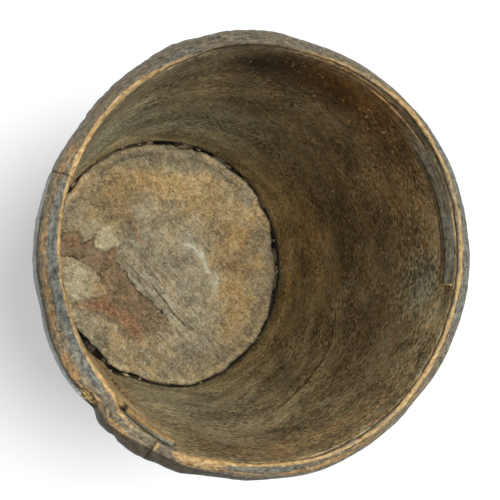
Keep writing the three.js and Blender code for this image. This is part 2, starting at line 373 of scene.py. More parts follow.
# A ragged patch: full where an amount is above a half, with a border broken up by noise.
RAGGED, given = new_group("ragged patch", "ShaderNodeTree", {
    "Place": "Vector", "Amount": 0.5, "Size": 0.01, "Raggedness": 0.8, "Softness": 0.15}, ("Mask",))
fill = given["Amount"] + (noise(given["Place"], given["Size"], 8.0, 0.62, 0.5) - 0.5) * given["Raggedness"]
give(RAGGED, Mask=ease(fill, 0.5 - given["Softness"], 0.5 + given["Softness"]))

# Specks: small dots scattered with an amount that may change over the surface.
SPECKS, given = new_group("specks", "ShaderNodeTree", {
    "Place": "Vector", "Amount": 0.2, "Size": 0.002}, ("Mask",))
cells = SPECKS.nodes.new("ShaderNodeTexVoronoi")
SPECKS.links.new(given["Place"].socket, cells.inputs["Vector"])
SPECKS.links.new((1 / given["Size"]).socket, cells.inputs["Scale"])
draw = node(SPECKS, "ShaderNodeSeparateColor", {0: Field(SPECKS, cells.outputs["Color"])})
dot = 1 - ease(Field(SPECKS, cells.outputs["Distance"]), 0.18, 0.36)
give(SPECKS, Mask=dot * (given["Amount"] - draw).sum("GREATER_THAN", 0.0))


class Finish:
    """A material, built up in layers of colour that each run from dark to light with the hide's grain."""

    def __init__(self, name, gloss, laid_by=None):
        self.material = bpy.data.materials.new(name)
        self.material.use_nodes = True
        self.tree = self.material.node_tree
        self.shader = self.tree.nodes["Principled BSDF"]
        self.shader.inputs["Specular IOR Level"].default_value = gloss
        if laid_by:
            self.place = node(self.tree, "ShaderNodeAttribute", output=1, attribute_name=laid_by)
        else:
            self.place = node(self.tree, "ShaderNodeTexCoord", output=3)

    def kept(self, name):
        return node(self.tree, "ShaderNodeAttribute", output=2, attribute_name=name)

    def use(self, group, **slots):
        made = self.tree.nodes.new("ShaderNodeGroup")
        made.node_tree = group
        for title, value in {"Place": self.place, **slots}.items():
            socket = made.inputs[title.replace("_", " ")]
            if isinstance(value, Field):
                self.tree.links.new(value.socket, socket)
            else:
                socket.default_value = value
        return {out.name: Field(self.tree, out) for out in made.outputs}

    def grain(self, blotch, streak, length, pore, **place):
        return self.use(GRAIN, Blotch_Size=blotch, Streak_Size=streak, Streak_Length=length,
                        Pore_Size=pore, **place)

    def ragged(self, amount, size, raggedness, softness, **place):
        return self.use(RAGGED, Amount=amount, Size=size, Raggedness=raggedness, Softness=softness,
                        **place)["Mask"]

    def specks(self, amount, size, **place):
        return self.use(SPECKS, Amount=amount, Size=size, **place)["Mask"]

    def start(self, dark, light, shade):
        self.shade = shade
        self.colour = over(tint(dark), tint(light), shade)

    def lay(self, dark, light, mask):
        self.colour = over(self.colour, over(tint(dark), tint(light), self.shade), mask)

    def stain(self, code, mask, blend="MIX"):
        self.colour = over(self.colour, tint(code), mask, blend)

    def paint_light_and_shade(self):
        """Scales the colour by the light share that the piece keeps at each point: painted light and shade,
        with some random tone.
        """
        slots = {0: self.colour, "Scale": self.kept("light")}
        self.colour = node(self.tree, "ShaderNodeVectorMath", slots, operation="SCALE")

    def done(self, roughness, height, depth):
        """Joins the colour, the roughness and the relief, which is given in metres of depth."""
        self.tree.links.new(self.colour.socket, self.shader.inputs["Base Color"])
        self.tree.links.new(roughness.socket, self.shader.inputs["Roughness"])
        bump = node(self.tree, "ShaderNodeBump", {"Strength": 1.0, "Distance": depth, "Height": height})
        self.tree.links.new(bump.socket, self.shader.inputs["Normal"])


def swing(grain, **shares):
    """How far the grain's patterns lie above or below their middle, each by its share."""
    return sum((grain[title] - 0.5) * share for title, share in shares.items())


hide = Finish("wall hide", 0.35, "sheet")
grain = hide.grain(0.045, 0.0015, 3.0, 0.0011)
rough_patch = ease(noise(hide.place, 0.026, 3.0), 0.38, 0.62)
coarse = noise(stretch(hide.place, 0.6), 0.0024, 4.0, 0.75, 0.4)
roughened = (coarse - 0.5) * (rough_patch * 1.8 + 0.7)
shade = swing(grain, Mottle=0.8, Streak=0.4, Blotch=0.8, Grit=0.7) + roughened
hide.start("#292317", "#a79672", ease(shade, -0.32, 0.32))
golden = 0.45 + hide.kept("rust") * 0.4 - hide.kept("olive") * 0.4
hide.lay("#5b4122", "#b28a4f", hide.ragged(golden, 0.010, 1.7, 0.35, Place=stretch(hide.place, 0.7)) * 0.5)
hide.lay("#45442f", "#a8a687", hide.ragged(0.34 + hide.kept("olive") * 0.6, 0.012, 1.4, 0.35) * 0.7)
hide.stain("#221a10", hide.ragged(0.42, 0.016, 1.7, 0.35, Place=stretch(hide.place, 0.6)) * 0.5)
hide.stain("#ffd08e", clip(hide.kept("rust")), "MULTIPLY")
hide.stain("#d2e2ff", clip(hide.kept("olive")), "MULTIPLY")
hide.lay("#54452d", "#a28c63", hide.kept("outside") * 0.7)
# Painted light and shade, from the light share.
hide.paint_light_and_shade()
cluster = hide.kept("speckle") + (noise(hide.place, 0.008, 3.0, 0.6) - 0.5) * 1.6 - hide.kept("outside") * 0.3
for spread, size, code, strength in ((1.3, 0.0021, "#b8925c", 0.7), (0.5, 0.0036, "#f2c785", 0.85)):
    hide.stain(code, hide.specks(cluster * spread, size, Place=stretch(hide.place, 0.9)) * strength)
hide.stain("#1c150e", grain["Crack"] * 0.3)
hide.stain("#1a130b", hide.specks(0.25, 0.0026, Place=stretch(hide.place, 0.9, 1.1)) * 0.6)
hide.lay("#59584c", "#b1b09c", clip(hide.kept("grey")))
hide.lay("#7d5a30", "#e6bd7c", hide.ragged(hide.kept("worn"), 0.003, 1.0, 0.2))
# Painted shade and shadow, from the dark share.
hide.stain("#120d09", clip(hide.kept("dark")))
hide.done(0.6 + grain["Mottle"] * 0.3, grain["Height"] + coarse * 0.4, 0.0010)

sheet_sizes = {
    "Top": SHEET_TOP, "Thickness": SHEET, "Lap Start": LAP_START, "Lap Width": LAP_WIDTH,
    "Tab Rise": TAB_RISE, "Columns": WALL_COLUMNS, "Rows": WALL_ROWS, "Hide": hide.material}
tree, given = new_group("rolled sheet", "GeometryNodeTree", sheet_sizes)
grid, share, loop = flat_grid(tree, given["Columns"], given["Rows"])
loop = loop * 2
sweep = given["Lap Width"] + 360
fine_part = sweep - (1 - share) * (FINE_SWEEP / FINE_SHARE)
turn = (share * ((sweep - FINE_SWEEP) / (1 - FINE_SHARE))).sum("MINIMUM", fine_part)
row = ARRIS_ROWS / given["Rows"]
reach = loop.sum("ABSOLUTE")
bend = clip(loop / row, -1.0, 1.0) * 90
foot = clip((reach - (1 - row)) / row)
end = clip(share.sum("MINIMUM", 1 - share) * given["Columns"] / 3) * 90
outward = 0.5 + sine(bend) * (1 - foot) * sine(end) * 0.5
fall = clip((reach - row) / (1 - row * 2))
nick = 1 - ease((turn - TAB_START).sum("ABSOLUTE"), 0.35, 0.75)
top = given["Top"] + given["Tab Rise"] * ease(turn, TAB_START, TAB_START + TAB_RAMP) - nick * NICK_DEPTH
z = (top - ARRIS) * (1 - fall) + cosine(bend) * (1 - foot) * ARRIS
angle = given["Lap Start"] - slant(z) + turn
step = (1 - ease(turn, LAP_BACK, LAP_BACK + LAP_EASE)) * LAP_STEP
radius = inner_radius(angle, z) + step + outward * given["Thickness"]
sheet = marked(marked(grid, "turn", turn), "side", outward)
give_shape(welded(moved_to(sheet, turned_to(angle, radius, z))), given["Hide"])
wall = grow("wall_sheet", tree, sheet_sizes, "wall_hide")

# The crease runs through these angles and heights in millimetres. A dent has its angle, its height,
# its two half widths and its depth, and every other mark its strength instead of a depth.
CREASE = ((337, 150), (328, 159), (320, 165), (306, 171), (294, 184))
LIP_OVER_CREASE = 0.005
DENTS = (
    (312, 122, 17, 26, 0.0026), (20, 200, 14, 40, 0.0010), (60, 110, 20, 30, -0.0012),
    (330, 90, 12, 22, -0.0010), (285, 215, 16, 22, 0.0012), (120, 190, 18, 40, 0.0010))
# Places on the inside painted lighter, or painted darker where the strength is below nought: painted light
# and shade.
LIT_PLACES = (
    (122, 60, 26, 110, 2.2), (95, 90, 26, 60, 0.5), (84, 80, 24, 60, 1.3), (92, 6, 30, 16, 3.4),
    (132, 205, 26, 70, 2.6), (136, 20, 14, 30, 3.0), (141, 70, 10, 60, 1.4), (15, 100, 14, 30, 0.6),
    (330, 160, 16, 24, 0.4), (308, 205, 14, 26, 0.5), (250, 150, 50, 170, 0.5), (285, 4, 30, 14, 1.2),
    (322, 40, 18, 24, 0.6), (268, 45, 34, 45, 1.5), (266, 140, 34, 110, 1.1), (225, 120, 22, 130, 1.6),
    (232, 288, 16, 36, 1.6), (312, 294, 40, 18, 1.2), (303, 145, 16, 50, 0.6), (30, 6, 60, 18, 1.7),
    (20, 40, 40, 30, 0.9), (352, 272, 14, 26, 1.7), (20, 300, 30, 16, 0.6), (97, 284, 20, 28, -0.6),
    (84, 282, 26, 30, -0.9), (58, 262, 24, 44, -0.7), (28, 155, 20, 44, -0.6), (338, 215, 14, 26, -0.5),
    (336, 60, 10, 20, -0.5), (8, 205, 14, 40, -0.5), (312, 122, 12, 22, -0.3))
RUST = (
    (64, 284, 22, 28, 0.95), (30, 262, 22, 40, 0.3), (15, 90, 34, 40, 0.22), (22, 190, 26, 50, 0.22),
    (280, 284, 34, 26, 0.25), (226, 120, 12, 160, 0.35), (330, 205, 20, 26, 0.2))
OLIVE = ((352, 272, 9, 20, 0.7), (88, 90, 34, 80, 0.8), (132, 170, 24, 110, 0.6), (266, 90, 40, 120, 0.4))
SPECKLE = (
    (8, 246, 20, 30, 0.8), (0, 240, 58, 60, 0.25), (50, 160, 46, 90, 0.3), (95, 200, 30, 60, 0.15),
    (330, 270, 30, 30, 0.2))

points = places(wall)
angle = np.degrees(np.arctan2(points[:, 1], points[:, 0])) % 360
z = points[:, 2]
turn = read(wall, "turn")
side = read(wall, "side")
inside = 1 - ease(side, 0.3, 0.7)
u = np.radians(turn) * GRAIN_RADIUS
arc = np.radians(angle) * GRAIN_RADIUS


def on_wall(marks):
    return spots(angle, z / MILLIMETRE, marks, past)


crease = [(math.radians(at) * GRAIN_RADIUS, height * MILLIMETRE) for at, height in CREASE]
from_crease = beside(arc, z, crease)
from_lip = beside(arc, z, [(at, height + LIP_OVER_CREASE) for at, height in crease])
push = patchy(u, z, 0.075, 11, 2) * 0.0011 + patchy(u * 0.35, z, 0.013, 21, 2) * 0.00035
push += ridge(from_crease, 0.003) * 0.0016 - ridge(from_lip, 0.004) * 0.0009
push += on_wall(DENTS)
push *= ease(z, 0.014, 0.045) * (1 - ease(z, 0.262, 0.296))
points[:, 0] += push * cosine(angle)
points[:, 1] += push * sine(angle)
put(wall, points)

broad = patchy(u, z, 0.05, 31, 3)
# Painted light and shade inside: lighter all over against the inner shade, a painted shadow in the crease and
# a painted highlight on its lip.
lit_inside = 1.7 + broad * 0.25 + on_wall(LIT_PLACES)
lit_inside = clip(lit_inside - ridge(from_crease, 0.0026) * 1.1 + ridge(from_lip, 0.0018) * 1.5, 0.3, 5.0)
tab = ease(turn, TAB_START, TAB_START + 0.4)
at_top = ease(z, SHEET_TOP + 0.0016, SHEET_TOP + 0.0023)
tab_end = ease(turn, TAB_END + 0.1, TAB_END + 0.7)
bared = (1 - ease(np.abs(turn - 355.5), 2.5, 4.5)) * ease(z, SHEET_TOP - 0.0012, SHEET_TOP - 0.0002)
gold_side = 0.8 - clip((turn - 360) / LAP_WIDTH) * 0.5
worn_side = 1 - ease(side - gold_side, -0.15, 0.15)
# Painted shadow below the binding's inner edge, at two stretches of the mouth.
shade_under_binding = (near(angle, 38, 32) + near(angle, 100, 16)) * ease(z, SHEET_TOP - 0.002, SHEET_TOP - 0.0002)
for name, everywhere, marks in (("rust", 0.0, RUST), ("olive", 0.0, OLIVE), ("speckle", 0.08, SPECKLE)):
    keep(wall, name, everywhere + on_wall(marks))
keep(wall, "sheet", np.stack([u, z, side * 0.02], axis=1))
# The light share: painted light and shade on the inside, and a random tone on the outside.
keep(wall, "light", lit_inside * inside + (1.0 + broad * 0.12) * (1 - inside))
keep(wall, "outside", 1 - inside)
keep(wall, "worn", tab * at_top * worn_side * 0.95 + tab_end * 0.6 * (1 - tab * at_top)
     + bared * 0.9 * (1 - tab))
keep(wall, "grey", tab * at_top * (1 - worn_side) * 0.85)
# The dark share is painted shade: in the nick at the tab, at the foot beside the disc, under the binding's
# inner edge, in a line under the tab's top and at the tab's end.
keep(wall, "dark", (1 - ease(np.abs(turn - TAB_START), 0.25, 0.6)) * ease(z, 0.3085, 0.3105) * 0.9
     + (1 - ease(z, 0.004, 0.013)) * inside * 0.4 + shade_under_binding * 0.7 * (1 - tab)
     + tab * inside * (1 - ease(np.abs(z - SHEET_TOP - 0.0012), 0.0002, 0.0009)) * 0.55
     + tab * ease(turn, TAB_END - 0.3, TAB_END + 0.3) * at_top * 0.7)

# The bottom. A disc of the same hide, its edge turned down as a flange and sewn to the wall. Its upper
# skin has worn to tan and grey, and at one side it has flaked off down to a darker brown layer.

DISC_TOP = 0.016
DISC_SAG = 0.0025
DISC_EDGE_GAP = 0.0027
DISC_EDGE_ROUND = 0.0012
DISC_THICKNESS = 0.004
DISC_CELLS = 200
FLANGE = 0.0035
FLANGE_FOOT = 0.0025
FOOT_ROUND = 0.0004
PACKING_START = 243.0
PACKING_SWEEP = 147.0
TORN_DEPTH = 0.0009

# Where the disc falls short of the wall: an angle, a half width and a depth. The outlines and lines
# that follow are in millimetres from the disc's middle.
NIBBLES = (
    (0, 30, 0.0004), (62, 20, 0.0004), (222, 18, 0.0036), (236, 7, 0.0014), (355, 22, 0.0030),
    (84, 14, 0.003), (52, 12, 0.0022), (330, 8, -0.0010), (15, 6, 0.0010), (6, 12, 0.0022), (33, 6, 0.0024),
    (342, 6, 0.0018), (308, 14, 0.0016), (255, 10, 0.001))
TORN_SKIN = (
    (-104, 26), (-98, 30), (-87, 32), (-84, 25), (-82, 19), (-77, 23), (-72, 26), (-74, 16), (-67, 14),
    (-59, 13), (-53, 16), (-53, 9), (-54, 4), (-47, -4), (-41, -12), (-33, -20), (-27, -29), (-20, -35),
    (-12, -41), (-2, -49), (6, -57), (16, -66), (20, -78), (4, -86), (-14, -86), (-22, -80), (-34, -80),
    (-41, -70), (-49, -61), (-59, -52), (-71, -46), (-83, -42), (-94, -43), (-92, -36), (-87, -35),
    (-77, -33), (-67, -33), (-61, -29), (-60, -24), (-66, -12), (-71, -9), (-77, -3), (-85, 2), (-91, 6),
    (-96, 7), (-104, 9))
PALE_FLAKE = (
    (-71, 28), (-64, 36), (-58, 36), (-53, 30), (-49, 22), (-50, 19), (-53, 16), (-59, 13), (-67, 14),
    (-74, 16), (-72, 23))
GREY_FLAKE = ((-83, 41), (-65, 44), (-64, 36), (-69, 33), (-75, 25), (-82, 21), (-86, 31))
OLIVE_FLAKE = (
    (-99, 0), (-95, 4), (-85, 2), (-77, -3), (-71, -9), (-66, -12), (-60, -24), (-61, -29), (-67, -33),
    (-77, -33), (-87, -35), (-95, -32), (-99, -20))
# The first line is a raised crease with a painted highlight along it.
HIGHLIT_CREASE_LINE = ((18, 20), (27, 16), (34, 10), (38, 2), (40, -6))
STEP_LINE = ((-14, -3), (-6, -12), (2, -24), (12, -38), (20, -52))
RED_LINE = ((-64, -38), (-54, -45), (-46, -50), (-38, -56), (-30, -66), (-26, -74))
ORANGE_RIDGE = ((-39, 47), (-33, 36), (-25, 21))
# Beside the orange ridge runs a line of painted shadow.
RIDGE_SHADOW_LINE = ((-41, 45), (-35, 34), (-27, 19))
SCORES = (
    (-22, -14, 16, 18, 1.2), (2, -36, 18, 20, 1.3), (14, -62, 18, 16, 1.0), (-50, -20, 14, 26, 0.4),
    (-12, -72, 24, 12, 0.6), (-34, 30, 10, 22, 0.4), (26, 20, 18, 14, 0.3))


def within(u, v, outline):
    """Distance inside a drawn outline, negative outside it."""
    loop = [*outline, outline[0]]
    crossings = np.zeros(np.shape(u), dtype=int)
    for (u0, v0), (u1, v1) in zip(loop, loop[1:]):
        if v0 != v1:
            crossings += ((v0 > v) != (v1 > v)) & (u < u0 + (v - v0) * (u1 - u0) / (v1 - v0))
    return beside(u, v, loop) * np.where(crossings % 2 == 1, 1.0, -1.0)


def lap_hollow(angle, z):
    """How far the wall's inner face stands back just past the sheet's inner end."""
    turn = (angle + slant(z) - LAP_START) % 360
    step = ease(turn, LAP_WIDTH - 0.2, LAP_WIDTH + 0.2)
    return (step - ease(turn, LAP_BACK, LAP_BACK + LAP_EASE)) * LAP_STEP


def disc_radius(angle):
    nibbled = sum(ridge(past(angle, at), wide) * depth for at, wide, depth in NIBBLES)
    ragged = patchy(angle * 0.0021, 0 * angle, 0.011, 51, 4)
    short = np.maximum(0.0011 + nibbled - ragged * 0.0012, 0.0004)
    return inner_radius(angle, 0.0) + lap_hollow(angle, 0.012) * 0.5 - short


def square_to_disc(cells):
    """A square grid eased into a round one, so that the disc has even cells and no pole."""
    line = np.linspace(-1, 1, cells + 1)
    a, b = np.meshgrid(line, line, indexing="ij")
    wide = np.abs(a) > np.abs(b)
    safe_a = np.where(a == 0, 1, a)
    safe_b = np.where(b == 0, 1, b)
    across = 45 * b / safe_a + np.where(a < 0, 180, 0)
    angle = np.where(wide, across, 90 - 45 * a / safe_b + np.where(b < 0, 180, 0))
    return np.where(wide, np.abs(a), np.abs(b)), angle % 360


def turned_points(angle, radius, z):
    return np.stack([radius * cosine(angle), radius * sine(angle), z + 0 * angle], axis=-1)


def cell_corners(grid):
    return np.stack([grid[:-1, :-1], grid[1:, :-1], grid[1:, 1:], grid[:-1, 1:]], axis=-1)


def shell_mesh(name, points, faces, slot, material):
    mesh = bpy.data.meshes.new(name)
    mesh.from_pydata(points.tolist(), [], faces)
    mesh.update()
    mesh.materials.append(material)
    piece = bpy.data.objects.new(name, mesh)
    bpy.context.scene.collection.objects.link(piece)
    hand_over(piece, name, slot)
    return piece


share, angle = square_to_disc(DISC_CELLS)
index = np.arange(share.size).reshape(share.shape)
rim = np.concatenate([index[:, 0], index[-1, 1:], index[-2::-1, -1], index[0, -2:0:-1]])
rim_angle = angle.ravel()[rim]
x, y = (share * (disc_radius(angle) - DISC_EDGE_ROUND) * wave(angle) for wave in (cosine, sine))
share, x, y = (values.ravel() for values in (share, x, y))
mm_x = x / MILLIMETRE + patchy(x, y, 0.006, 61, 3) * 1.8
mm_y = y / MILLIMETRE + patchy(x, y, 0.006, 71, 3) * 1.8
torn, pale, grey, olive = (
    within(mm_x, mm_y, line) for line in (TORN_SKIN, PALE_FLAKE, GREY_FLAKE, OLIVE_FLAKE))
highlit_crease, stepped, orange, red_line, from_ridge_shadow = (
    beside(mm_x, mm_y, line) for line in (HIGHLIT_CREASE_LINE, STEP_LINE, ORANGE_RIDGE, RED_LINE, RIDGE_SHADOW_LINE))
fading = 1 - ease(mm_x * 0.9 - mm_y, 24, 62)
scored = spots(mm_x, mm_y, SCORES)
relief = ease(pale, -0.8, 0.8) * 0.0012 + ease(grey, -0.8, 0.8) * 0.0006 + ease(olive, -1.0, 1.0) * 0.0005
relief += ridge(highlit_crease, 1.6) * 0.0011 + ridge(orange, 1.5) * 0.0007 + ridge(stepped, 1.8) * 0.0005
relief += patchy(x, y, 0.045, 81, 2) * 0.0011 + patchy(x, y, 0.004, 95, 2) * 0.00012
relief += patchy((x + y) * 0.8, (x - y) * 0.16, 0.0036, 91, 2) * 0.00022 * (0.25 + scored)
relief -= ease(torn, -0.6, 0.6) * TORN_DEPTH * fading
relief *= 1 - ease(share, 0.97, 1.0)
z = DISC_TOP - DISC_SAG * (1 - share ** 2) + relief

underside = DISC_TOP - DISC_THICKNESS
edge = disc_radius(rim_angle)
from_packing = (rim_angle - PACKING_START + 6) % 360
packed = ease(from_packing, 0, 6) * (1 - ease(from_packing, PACKING_SWEEP + 6, PACKING_SWEEP + 14))
foot = inner_radius(rim_angle, 0.0)
outer = foot + 0.0001 + lap_hollow(rim_angle, 0.012) - packed * DISC_EDGE_GAP
inner = foot - DISC_EDGE_GAP - FLANGE
sole = FLANGE_FOOT - FOOT_ROUND
# The section below the face: the rounded edge, the flange down to its sole, and the underside.
profile = [(edge - DISC_EDGE_ROUND * (1 - sine(t)), DISC_TOP - DISC_EDGE_ROUND * (1 - cosine(t)))
           for t in (30, 60, 90)]
profile += [(edge - 0.0005, 0.0132), (edge * 0.4 + outer * 0.6, 0.0124), (outer + 0.0005, 0.0116),
            (outer + 0.0002, 0.006), (outer, FLANGE_FOOT), (outer - FOOT_ROUND * 2, sole),
            (inner + FOOT_ROUND * 2, sole), (inner, FLANGE_FOOT + 0.0006), (inner, underside - 0.003),
            (inner - 0.001, underside - 0.0008), (inner * 0.95, underside)]
profile += [(inner * s, underside - DISC_SAG * (1 - s * s)) for s in (0.85, 0.7, 0.55, 0.4, 0.25, 0.1)]
rings = [turned_points(rim_angle, radius, height) for radius, height in profile]
disc_points = np.concatenate([np.stack([x, y, z], axis=1), *rings, [[0.0, 0.0, underside - DISC_SAG]]])
ring_index = [rim] + [share.size + n * len(rim) + np.arange(len(rim)) for n in range(len(profile))]
sides = [np.stack([a, np.roll(a, -1), np.roll(b, -1), b], axis=1) for a, b in zip(ring_index, ring_index[1:])]
last = ring_index[-1]
fan = np.stack([last, np.roll(last, -1), np.full(len(rim), len(disc_points) - 1)], axis=1)
disc_faces = np.concatenate([cell_corners(index).reshape(-1, 4), *sides]).tolist() + fan.tolist()

hide = Finish("disc hide", 0.3)
slots = {"Vector": hide.place, "Angle": math.radians(48)}
turned = node(hide.tree, "ShaderNodeVectorRotate", slots, rotation_type="Z_AXIS")
grain = hide.grain(0.03, 0.0018, 3.0, 0.0009, Place=turned)
fine = noise(hide.place, 0.0014, 3.0, 0.7)
coarse = noise(hide.place, 0.0026, 4.0, 0.75, 0.5)
patch = noise(hide.place, 0.020, 5.0, 0.62, 1.2)
long_streak = noise(stretch(turned, 0.07), 0.0016, 6.0, 0.6)
broad_streak = noise(stretch(turned, 0.1), 0.006, 4.0, 0.55)
score = hide.kept("scored")
tan = hide.kept("tan")
brown = clip(hide.kept("brown") + (noise(turned, 0.010, 5.0, 0.6, 1.0) - 0.5) * 2.4)
shade = swing(grain, Mottle=0.7, Grit=0.8) + (coarse - 0.5) * 1.3 + (patch - 0.5) * 0.8
hide.start("#726750", "#c9be9f", ease(shade, -0.4, 0.4))
hide.lay("#8c7549", "#e2cb98", ease(tan + (patch - 0.5) * 2.2, -0.1, 1.2))
hide.lay("#8b6a38", "#dfba78", hide.ragged(0.2 + tan * 0.32, 0.009, 1.5, 0.3) * 0.55)
hide.lay("#84532c", "#d39a62", hide.ragged(0.22 + tan * 0.2, 0.005, 1.5, 0.2) * 0.35)
hide.lay("#5d472b", "#a9895c", brown * 0.8)
hide.stain("#dad3ba", clip(ease(long_streak, 0.48, 0.66) * score * 0.7, 0.0, 0.9))
hide.stain("#43382a", clip((1 - ease(long_streak, 0.34, 0.47)) * (score * 0.7 + 0.05), 0.0, 0.85))
hide.stain("#5a4a35", (1 - ease(broad_streak, 0.32, 0.5)) * score * 0.5)
hide.stain("#e6dbbc", hide.specks(0.22, 0.0018) * 0.5)
upper_skin = hide.colour
hide.start("#5f4c36", "#b39977", hide.shade)
hide.lay("#845735", "#d3a176", clip(hide.kept("rust") + (patch - 0.5) * 1.3) * 0.85)
hide.stain("#3a2a1e", (1 - ease(long_streak, 0.3, 0.5)) * 0.35)
lost = hide.ragged(hide.kept("lost") + (broad_streak - 0.5) * score * 0.9, 0.004, 0.9, 0.22)
hide.colour = over(upper_skin, hide.colour, lost)
hide.lay("#9d8b66", "#efe1ba", clip(hide.kept("pale")) * 0.95)
hide.lay("#8d8164", "#ddd0ae", clip(hide.kept("olive")) * 0.85)
# A painted highlight along the raised crease, and pale spots.
hide.stain("#e2dfc4", clip(hide.kept("highlit_crease")) * ease(fine, 0.2, 0.5))
hide.lay("#8f6538", "#dfae74", clip(hide.kept("orange")) * 0.8)
hide.stain("#2a2118", grain["Crack"] * 0.2)
hide.stain("#35291d", hide.specks(0.22, 0.0022, Place=turned) * 0.5)
# Painted light and shade, from the light share.
hide.paint_light_and_shade()
# Painted shade and shadow, from the dark share.
hide.stain("#15100b", clip(hide.kept("dark")))
hide.done(0.78 + grain["Blotch"] * 0.15, grain["Height"] + fine * 0.3 + coarse * 0.5, 0.0011)

disc = shell_mesh("base_disc", disc_points, disc_faces, "disc_hide", hide.material)

# Marks on the disc: a place in millimetres, two half widths and a strength.
TAN = (
    (-12, 78, 66, 26, 0.8), (72, 10, 24, 70, 0.7), (50, 60, 26, 26, 0.3), (62, -50, 26, 26, 0.3),
    (-70, -8, 12, 12, 0.3), (-30, -88, 44, 22, 0.25), (-60, 60, 20, 20, 0.2), (30, 98, 56, 12, -0.6),
    (80, 68, 20, 20, -0.45), (-11, 29, 12, 9, -0.3), (-40, 104, 24, 8, -0.4), (-5, -12, 30, 50, -0.3),
    (-20, 52, 10, 14, -0.3), (30, -50, 26, 40, -0.2))
BROWN = (
    (64, 0, 11, 14, 0.75), (50, 32, 9, 8, 0.5), (-52, 52, 26, 20, 0.7), (-12, 42, 12, 12, 0.4),
    (2, 42, 10, 10, 0.3), (-40, 80, 20, 8, 0.3), (10, -2, 16, 12, 0.25), (-40, 5, 14, 8, 0.3),
    (40, -92, 30, 10, 0.3))
# Places painted lighter, or painted darker where the strength is below nought: painted light and shade.
DISC_LIGHT_AND_SHADE = (
    (14, 82, 50, 18, 0.42), (44, 92, 26, 22, 0.25), (30, 42, 12, 16, 0.1), (86, 30, 12, 16, 0.2),
    (85, 70, 22, 32, 0.65), (74, 45, 20, 20, 0.3), (101, 5, 9, 34, 0.5), (84, -35, 22, 24, 0.25),
    (40, -66, 40, 18, 0.12), (-14, -22, 12, 18, 0.16), (34, 45, 8, 10, 0.12), (-12, 64, 20, 10, 0.1),
    (-84, -16, 14, 18, 0.16), (14, 84, 40, 14, 0.12), (-50, 52, 28, 22, -0.16), (-44, 26, 20, 12, -0.1),
    (0, -92, 90, 14, -0.06), (-70, -84, 16, 12, -0.15), (64, 2, 10, 12, -0.1), (-88, 44, 14, 20, -0.1))
SOFT_SIDES = ((-84, -40, 12, 6, 0.35), (-30, -82, 20, 10, 0.45), (5, -82, 24, 12, 0.45))
RED = (
    (-92, 21, 9, 6, 0.7), (-50, 56, 24, 16, 0.4), (-77, -40, 14, 5, 0.7), (-56, 9, 2.5, 3, 0.9),
    (-42, -32, 6, 3, 0.6))
# Pale spots, laid in the same colour as the painted highlight along the crease.
PALE_SPOTS = (
    (47, -15, 6, 6, 0.5), (49, -22, 3, 4, 0.4), (-27, 51, 6, 7, 0.35), (29, 42, 5, 5, 0.35),
    (24, 29, 5, 3, 0.4), (-20, 62, 5, 4, 0.2))
ORANGE_MARKS = ((-65, -25, 7, 10, 0.45), (-26, -75, 5, 6, 0.5), (-56, 9, 2, 3, 0.6))
ORANGE_DUST = (
    (-22, 77, 24, 7, 0.4), (-34, 86, 12, 6, 0.35), (-92, 62, 12, 10, 0.4), (-3, 58, 10, 8, 0.35),
    (34, 44, 8, 8, 0.45), (94, -14, 7, 24, 0.3), (-18, -100, 20, 8, 0.35), (22, 74, 9, 6, 0.4),
    (62, -34, 10, 12, 0.35))
# Where the painted shadow along the torn skin's edge is strongest.
TORN_EDGE_SHADOWS = (
    (-49, -2, 5, 6, 0.45), (-43, -10, 5, 6, 0.5), (-34, -19, 6, 6, 0.5), (-27, -28, 6, 6, 0.6),
    (-96, 4, 6, 5, 0.5), (-88, 5, 9, 5, 0.9), (-77, 22, 6, 7, 0.55), (-49, 20, 3, 4, 0.6),
    (-19, -34, 5, 4, 0.7), (-5, -46, 8, 7, 0.8), (-38, -15, 6, 8, 0.35), (10, -60, 8, 8, 0.3))


def on_disc(marks):
    return spots(mm_x, mm_y, marks)


soft_patch = patchy(x, y, 0.024, 105, 3)
# A paler band round the disc's edge, in patches.
pale_rim = ease(share, 0.945, 0.972) * (1 - ease(share, 0.985, 1.0))
pale_rim *= ease(patchy(x, y, 0.016, 97, 3), -0.5, 0.6)
# Painted light on the band at the disc's upper right.
upper_rim_light = ease(mm_y + mm_x * 0.7, 70, 100) * ease(share, 0.9, 0.95)
# How strong the painted shade in the groove inside the rim is.
groove_shade = clip(patchy(x, y, 0.02, 103, 2) * 0.5 + ease(mm_y + mm_x * 0.3, 30, 90) * 0.45, 0, 0.6)
# Painted shadow along the edge of the torn skin.
torn_edge_shadow = ridge(torn + 0.4, 1.0) * ease(fading, 0.0, 0.4) * (0.3 + on_disc(TORN_EDGE_SHADOWS))
patch_on_side = patchy(rim_angle * 0.0021, 0 * rim_angle, 0.008, 101, 3) * 0.4
# Painted shade on the flange and the disc's sides, in the gap by the wall.
gap_shade = clip(0.75 + patch_on_side + near(rim_angle, 232, 34) * 0.5)
